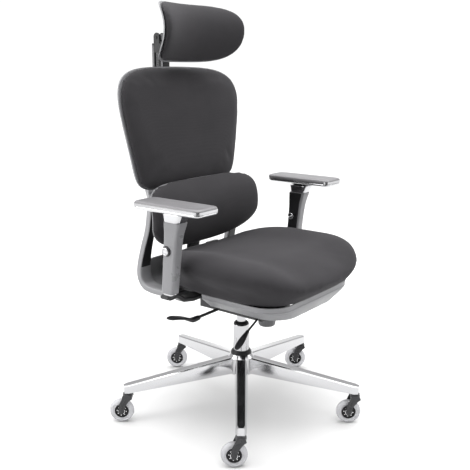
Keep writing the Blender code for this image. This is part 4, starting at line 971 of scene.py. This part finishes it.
def back_rim(angle):
    s, t = round_rim(8.0 - 2.8 * ease((math.sin(angle) + 0.6) / 1.2))(angle)
    half_width = 0.2150 + 0.0470 * ease((t + 1.2) / 1.9)
    return half_width * s, t * (back_high - back_low) / 2 - 0.005 + 0.010 * (1.0 - s * s) * max(t, 0.0)


def crowned(height, edge, power=4.0):
    """How far a padded face stands off its sheet: `height` in the middle, `edge` at the rim."""
    def rise(r):
        return edge + (height - edge) * max(1.0 - r ** power, 0.0) ** (1.0 / 2.2)
    return rise


def upholstered(rim, sheet, front, back, points=160, steps=26):
    """A closed pad or shell on a curved sheet that faces the sitter."""
    bm = bmesh.new()
    reaches = [math.sin(math.pi / 2 * k / steps) for k in range(steps + 1)]
    rims = []
    for rise, sign in ((front, 1.0), (back, -1.0)):
        rings = []
        for r in reaches:
            ring = []
            for step in range(points if r else 1):
                s, t = rim(2 * math.pi * step / points)
                ring.append(bm.verts.new(sheet(s * r, t * r) - Vector((0, sign * rise(r), 0))))
            rings.append(ring)
        rims.append(rings[-1])
        for inner, outer in zip(rings, rings[1:]):
            for i in range(points):
                j = (i + 1) % points
                if len(inner) == 1:
                    bm.faces.new((inner[0], outer[i], outer[j]))
                else:
                    bm.faces.new((inner[i], outer[i], outer[j], inner[j]))
    for i in range(points):
        j = (i + 1) % points
        bm.faces.new((rims[0][i], rims[1][i], rims[1][j], rims[0][j]))
    return bm


def wider(rim, across, up):
    def spot(angle):
        s, t = rim(angle)
        return s * across, t * up
    return spot


def pad_on(name, rim, sheet, height, edge, power, body, node, voxel=0.0055):
    """A cloth-covered pad: pinned at its rear and its tucked edge, swelled in front."""
    pad = new_piece(name, upholstered(rim, sheet, crowned(height, edge, power), lambda r: 0.0), cloth, 65.0)
    pad_middle = sum(corner.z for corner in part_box(node)) / 2

    def held(spot):
        return spot.y > sheet(spot.x, spot.z - pad_middle).y - edge * 0.9

    swollen(pad, voxel, held, 0.0025)
    return fit(pad, body, "seat_fabric", node)


pad_on("upper_back_cover", back_rim, back_sheet, 0.034, 0.010, 4.0, "back", "back_pad")
back_shell = upholstered(wider(back_rim, 1.026, 1.012), back_sheet, lambda r: -shell_gap,
    crowned(0.016, 0.006, 6.0))
fit(new_piece("upper_back_shell", back_shell, rail_grey, 50.0), "back", "grey_plastic", "back_shell")
shell_screws = bmesh.new()
for z in (0.80, 0.96):
    join(shell_screws, screw_row((-0.150, back_face(0.150, z) + 0.0160, z), (0.300, 0, 0), 2, (0, 1, 0),
        0.0055))
fit(new_piece("shell_screws", shell_screws, black), "back", "black_plastic")

# ---- Lumbar support -------------------------------------------------------------------------
# A second, deeper pad across the small of the back, tucked in under the upper one. Its moulded
# shell has a lug on each side that turns on the inner face of a rail.
lumbar_low, lumbar_high = 0.517, 0.722
lumbar_mid, lumbar_half = (lumbar_low + lumbar_high) / 2, (lumbar_high - lumbar_low) / 2


def lumbar_sheet(s, t):
    return Vector((s, 0.148 - 0.30 * s * s + 0.026 * (t / lumbar_half) ** 2, lumbar_mid + t))


def lumbar_rim(angle):
    s, t = round_rim(2.5 + 2.7 * ease((math.sin(angle) + 0.5) / 1.2))(angle)
    return 0.246 * s, lumbar_half * t


pad_on("lumbar_cover", lumbar_rim, lumbar_sheet, 0.042, 0.008, 3.0, "lumbar", "lumbar_pad")
lumbar_shell = upholstered(wider(lumbar_rim, 0.985, 0.975), lumbar_sheet, lambda r: -shell_gap,
    crowned(0.009, 0.005, 6.0))
for side in (-1, 1):
    join(lumbar_shell, bar(sorted((side * 0.172, side * 0.1865)), (0.145, 0.184), (0.631, 0.649), 0.003))
fit(new_piece("lumbar_shell_moulding", lumbar_shell, rail_grey, 50.0), "lumbar", "grey_plastic",
    "lumbar_shell")

# ---- Headrest slide -------------------------------------------------------------------------
# A black moulded post slides in the spine. Steel-grey strips edge its sides, a toothed rack is
# let in between them, and a pin through its two ears carries the headrest.
dressed("headrest_post", "slide_post", black, "headrest_slide", "black_plastic", 0.0012)
post_low, post_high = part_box("headrest_post")
post_low, post_high = post_low - column_foot, post_high - column_foot


def rack_tree(name, material):
    """A rack: small square-edged teeth one over another."""
    tree, size, keys = growing_tree(name, {"Count": "Int", "Pitch": "Vector", "Tooth Size": "Vector"})
    line = add_node(tree, "GeometryNodeMeshLine", {"Count": size["Count"], "Offset": size["Pitch"]})
    tooth = add_node(tree, "GeometryNodeMeshCube", {"Size": size["Tooth Size"]})
    row = add_node(tree, "GeometryNodeInstanceOnPoints",
        {"Points": line.outputs["Mesh"], "Instance": tooth.outputs["Mesh"]})
    end_tree(tree, row.outputs["Instances"], material)
    return tree, keys


tooth_tree = rack_tree("slide_rack", black)
rack, strips = bmesh.new(), bmesh.new()
for side in (-1, 1):
    teeth = grown(tooth_tree, {"Count": 31, "Pitch": (0, 0, 0.0052), "Tooth Size": (0.0026, 0.0120, 0.0026)})
    bmesh.ops.translate(teeth, verts=teeth.verts, vec=(side * 0.0131, 0.3210, 0.9420))
    join(rack, teeth)
    for y in (0.2990, 0.3365):
        join(strips, bar(sorted((side * 0.0144, side * 0.0154)), (y, y + 0.0065), (0.906, 1.122), 0.0004, 2))
fit(new_piece("slide_rack_teeth", rack, fork_plastic, 20.0), "headrest_slide", "black_plastic")
fit(new_piece("slide_strips", strips, knob_grey, 40.0), "headrest_slide", "grey_plastic")

# ---- Headrest -------------------------------------------------------------------------------
# A strongly curved pad on its own shell, screwed to a charcoal bracket whose barrel turns on the
# post's pin between two round caps.
dressed("headrest_bracket", "tilt_bracket", fork_plastic, "headrest", "charcoal_plastic", 0.0012)
head_low, head_high = 1.072, 1.240
head_mid, head_half = (head_low + head_high) / 2, (head_high - head_low) / 2


def headrest_sheet(s, t):
    v = t / head_half
    return Vector((s, 0.1970 - 2.15 * s * s + 0.038 * v * v - 0.005 * v, head_mid + t))


def headrest_rim(angle):
    s, t = round_rim(4.3)(angle)
    return 0.1745 * s * (0.95 + 0.05 * ease((t + 1.0) / 1.2)), head_half * t


pad_on("headrest_cover", headrest_rim, headrest_sheet, 0.032, 0.009, 3.4, "headrest", "headrest_pad", 0.0045)
headrest_shell = upholstered(wider(headrest_rim, 1.028, 1.022), headrest_sheet, lambda r: -shell_gap,
    crowned(0.011, 0.006, 6.0))
fit(new_piece("headrest_shell_moulding", headrest_shell, rail_grey, 50.0), "headrest", "grey_plastic",
    "headrest_shell")
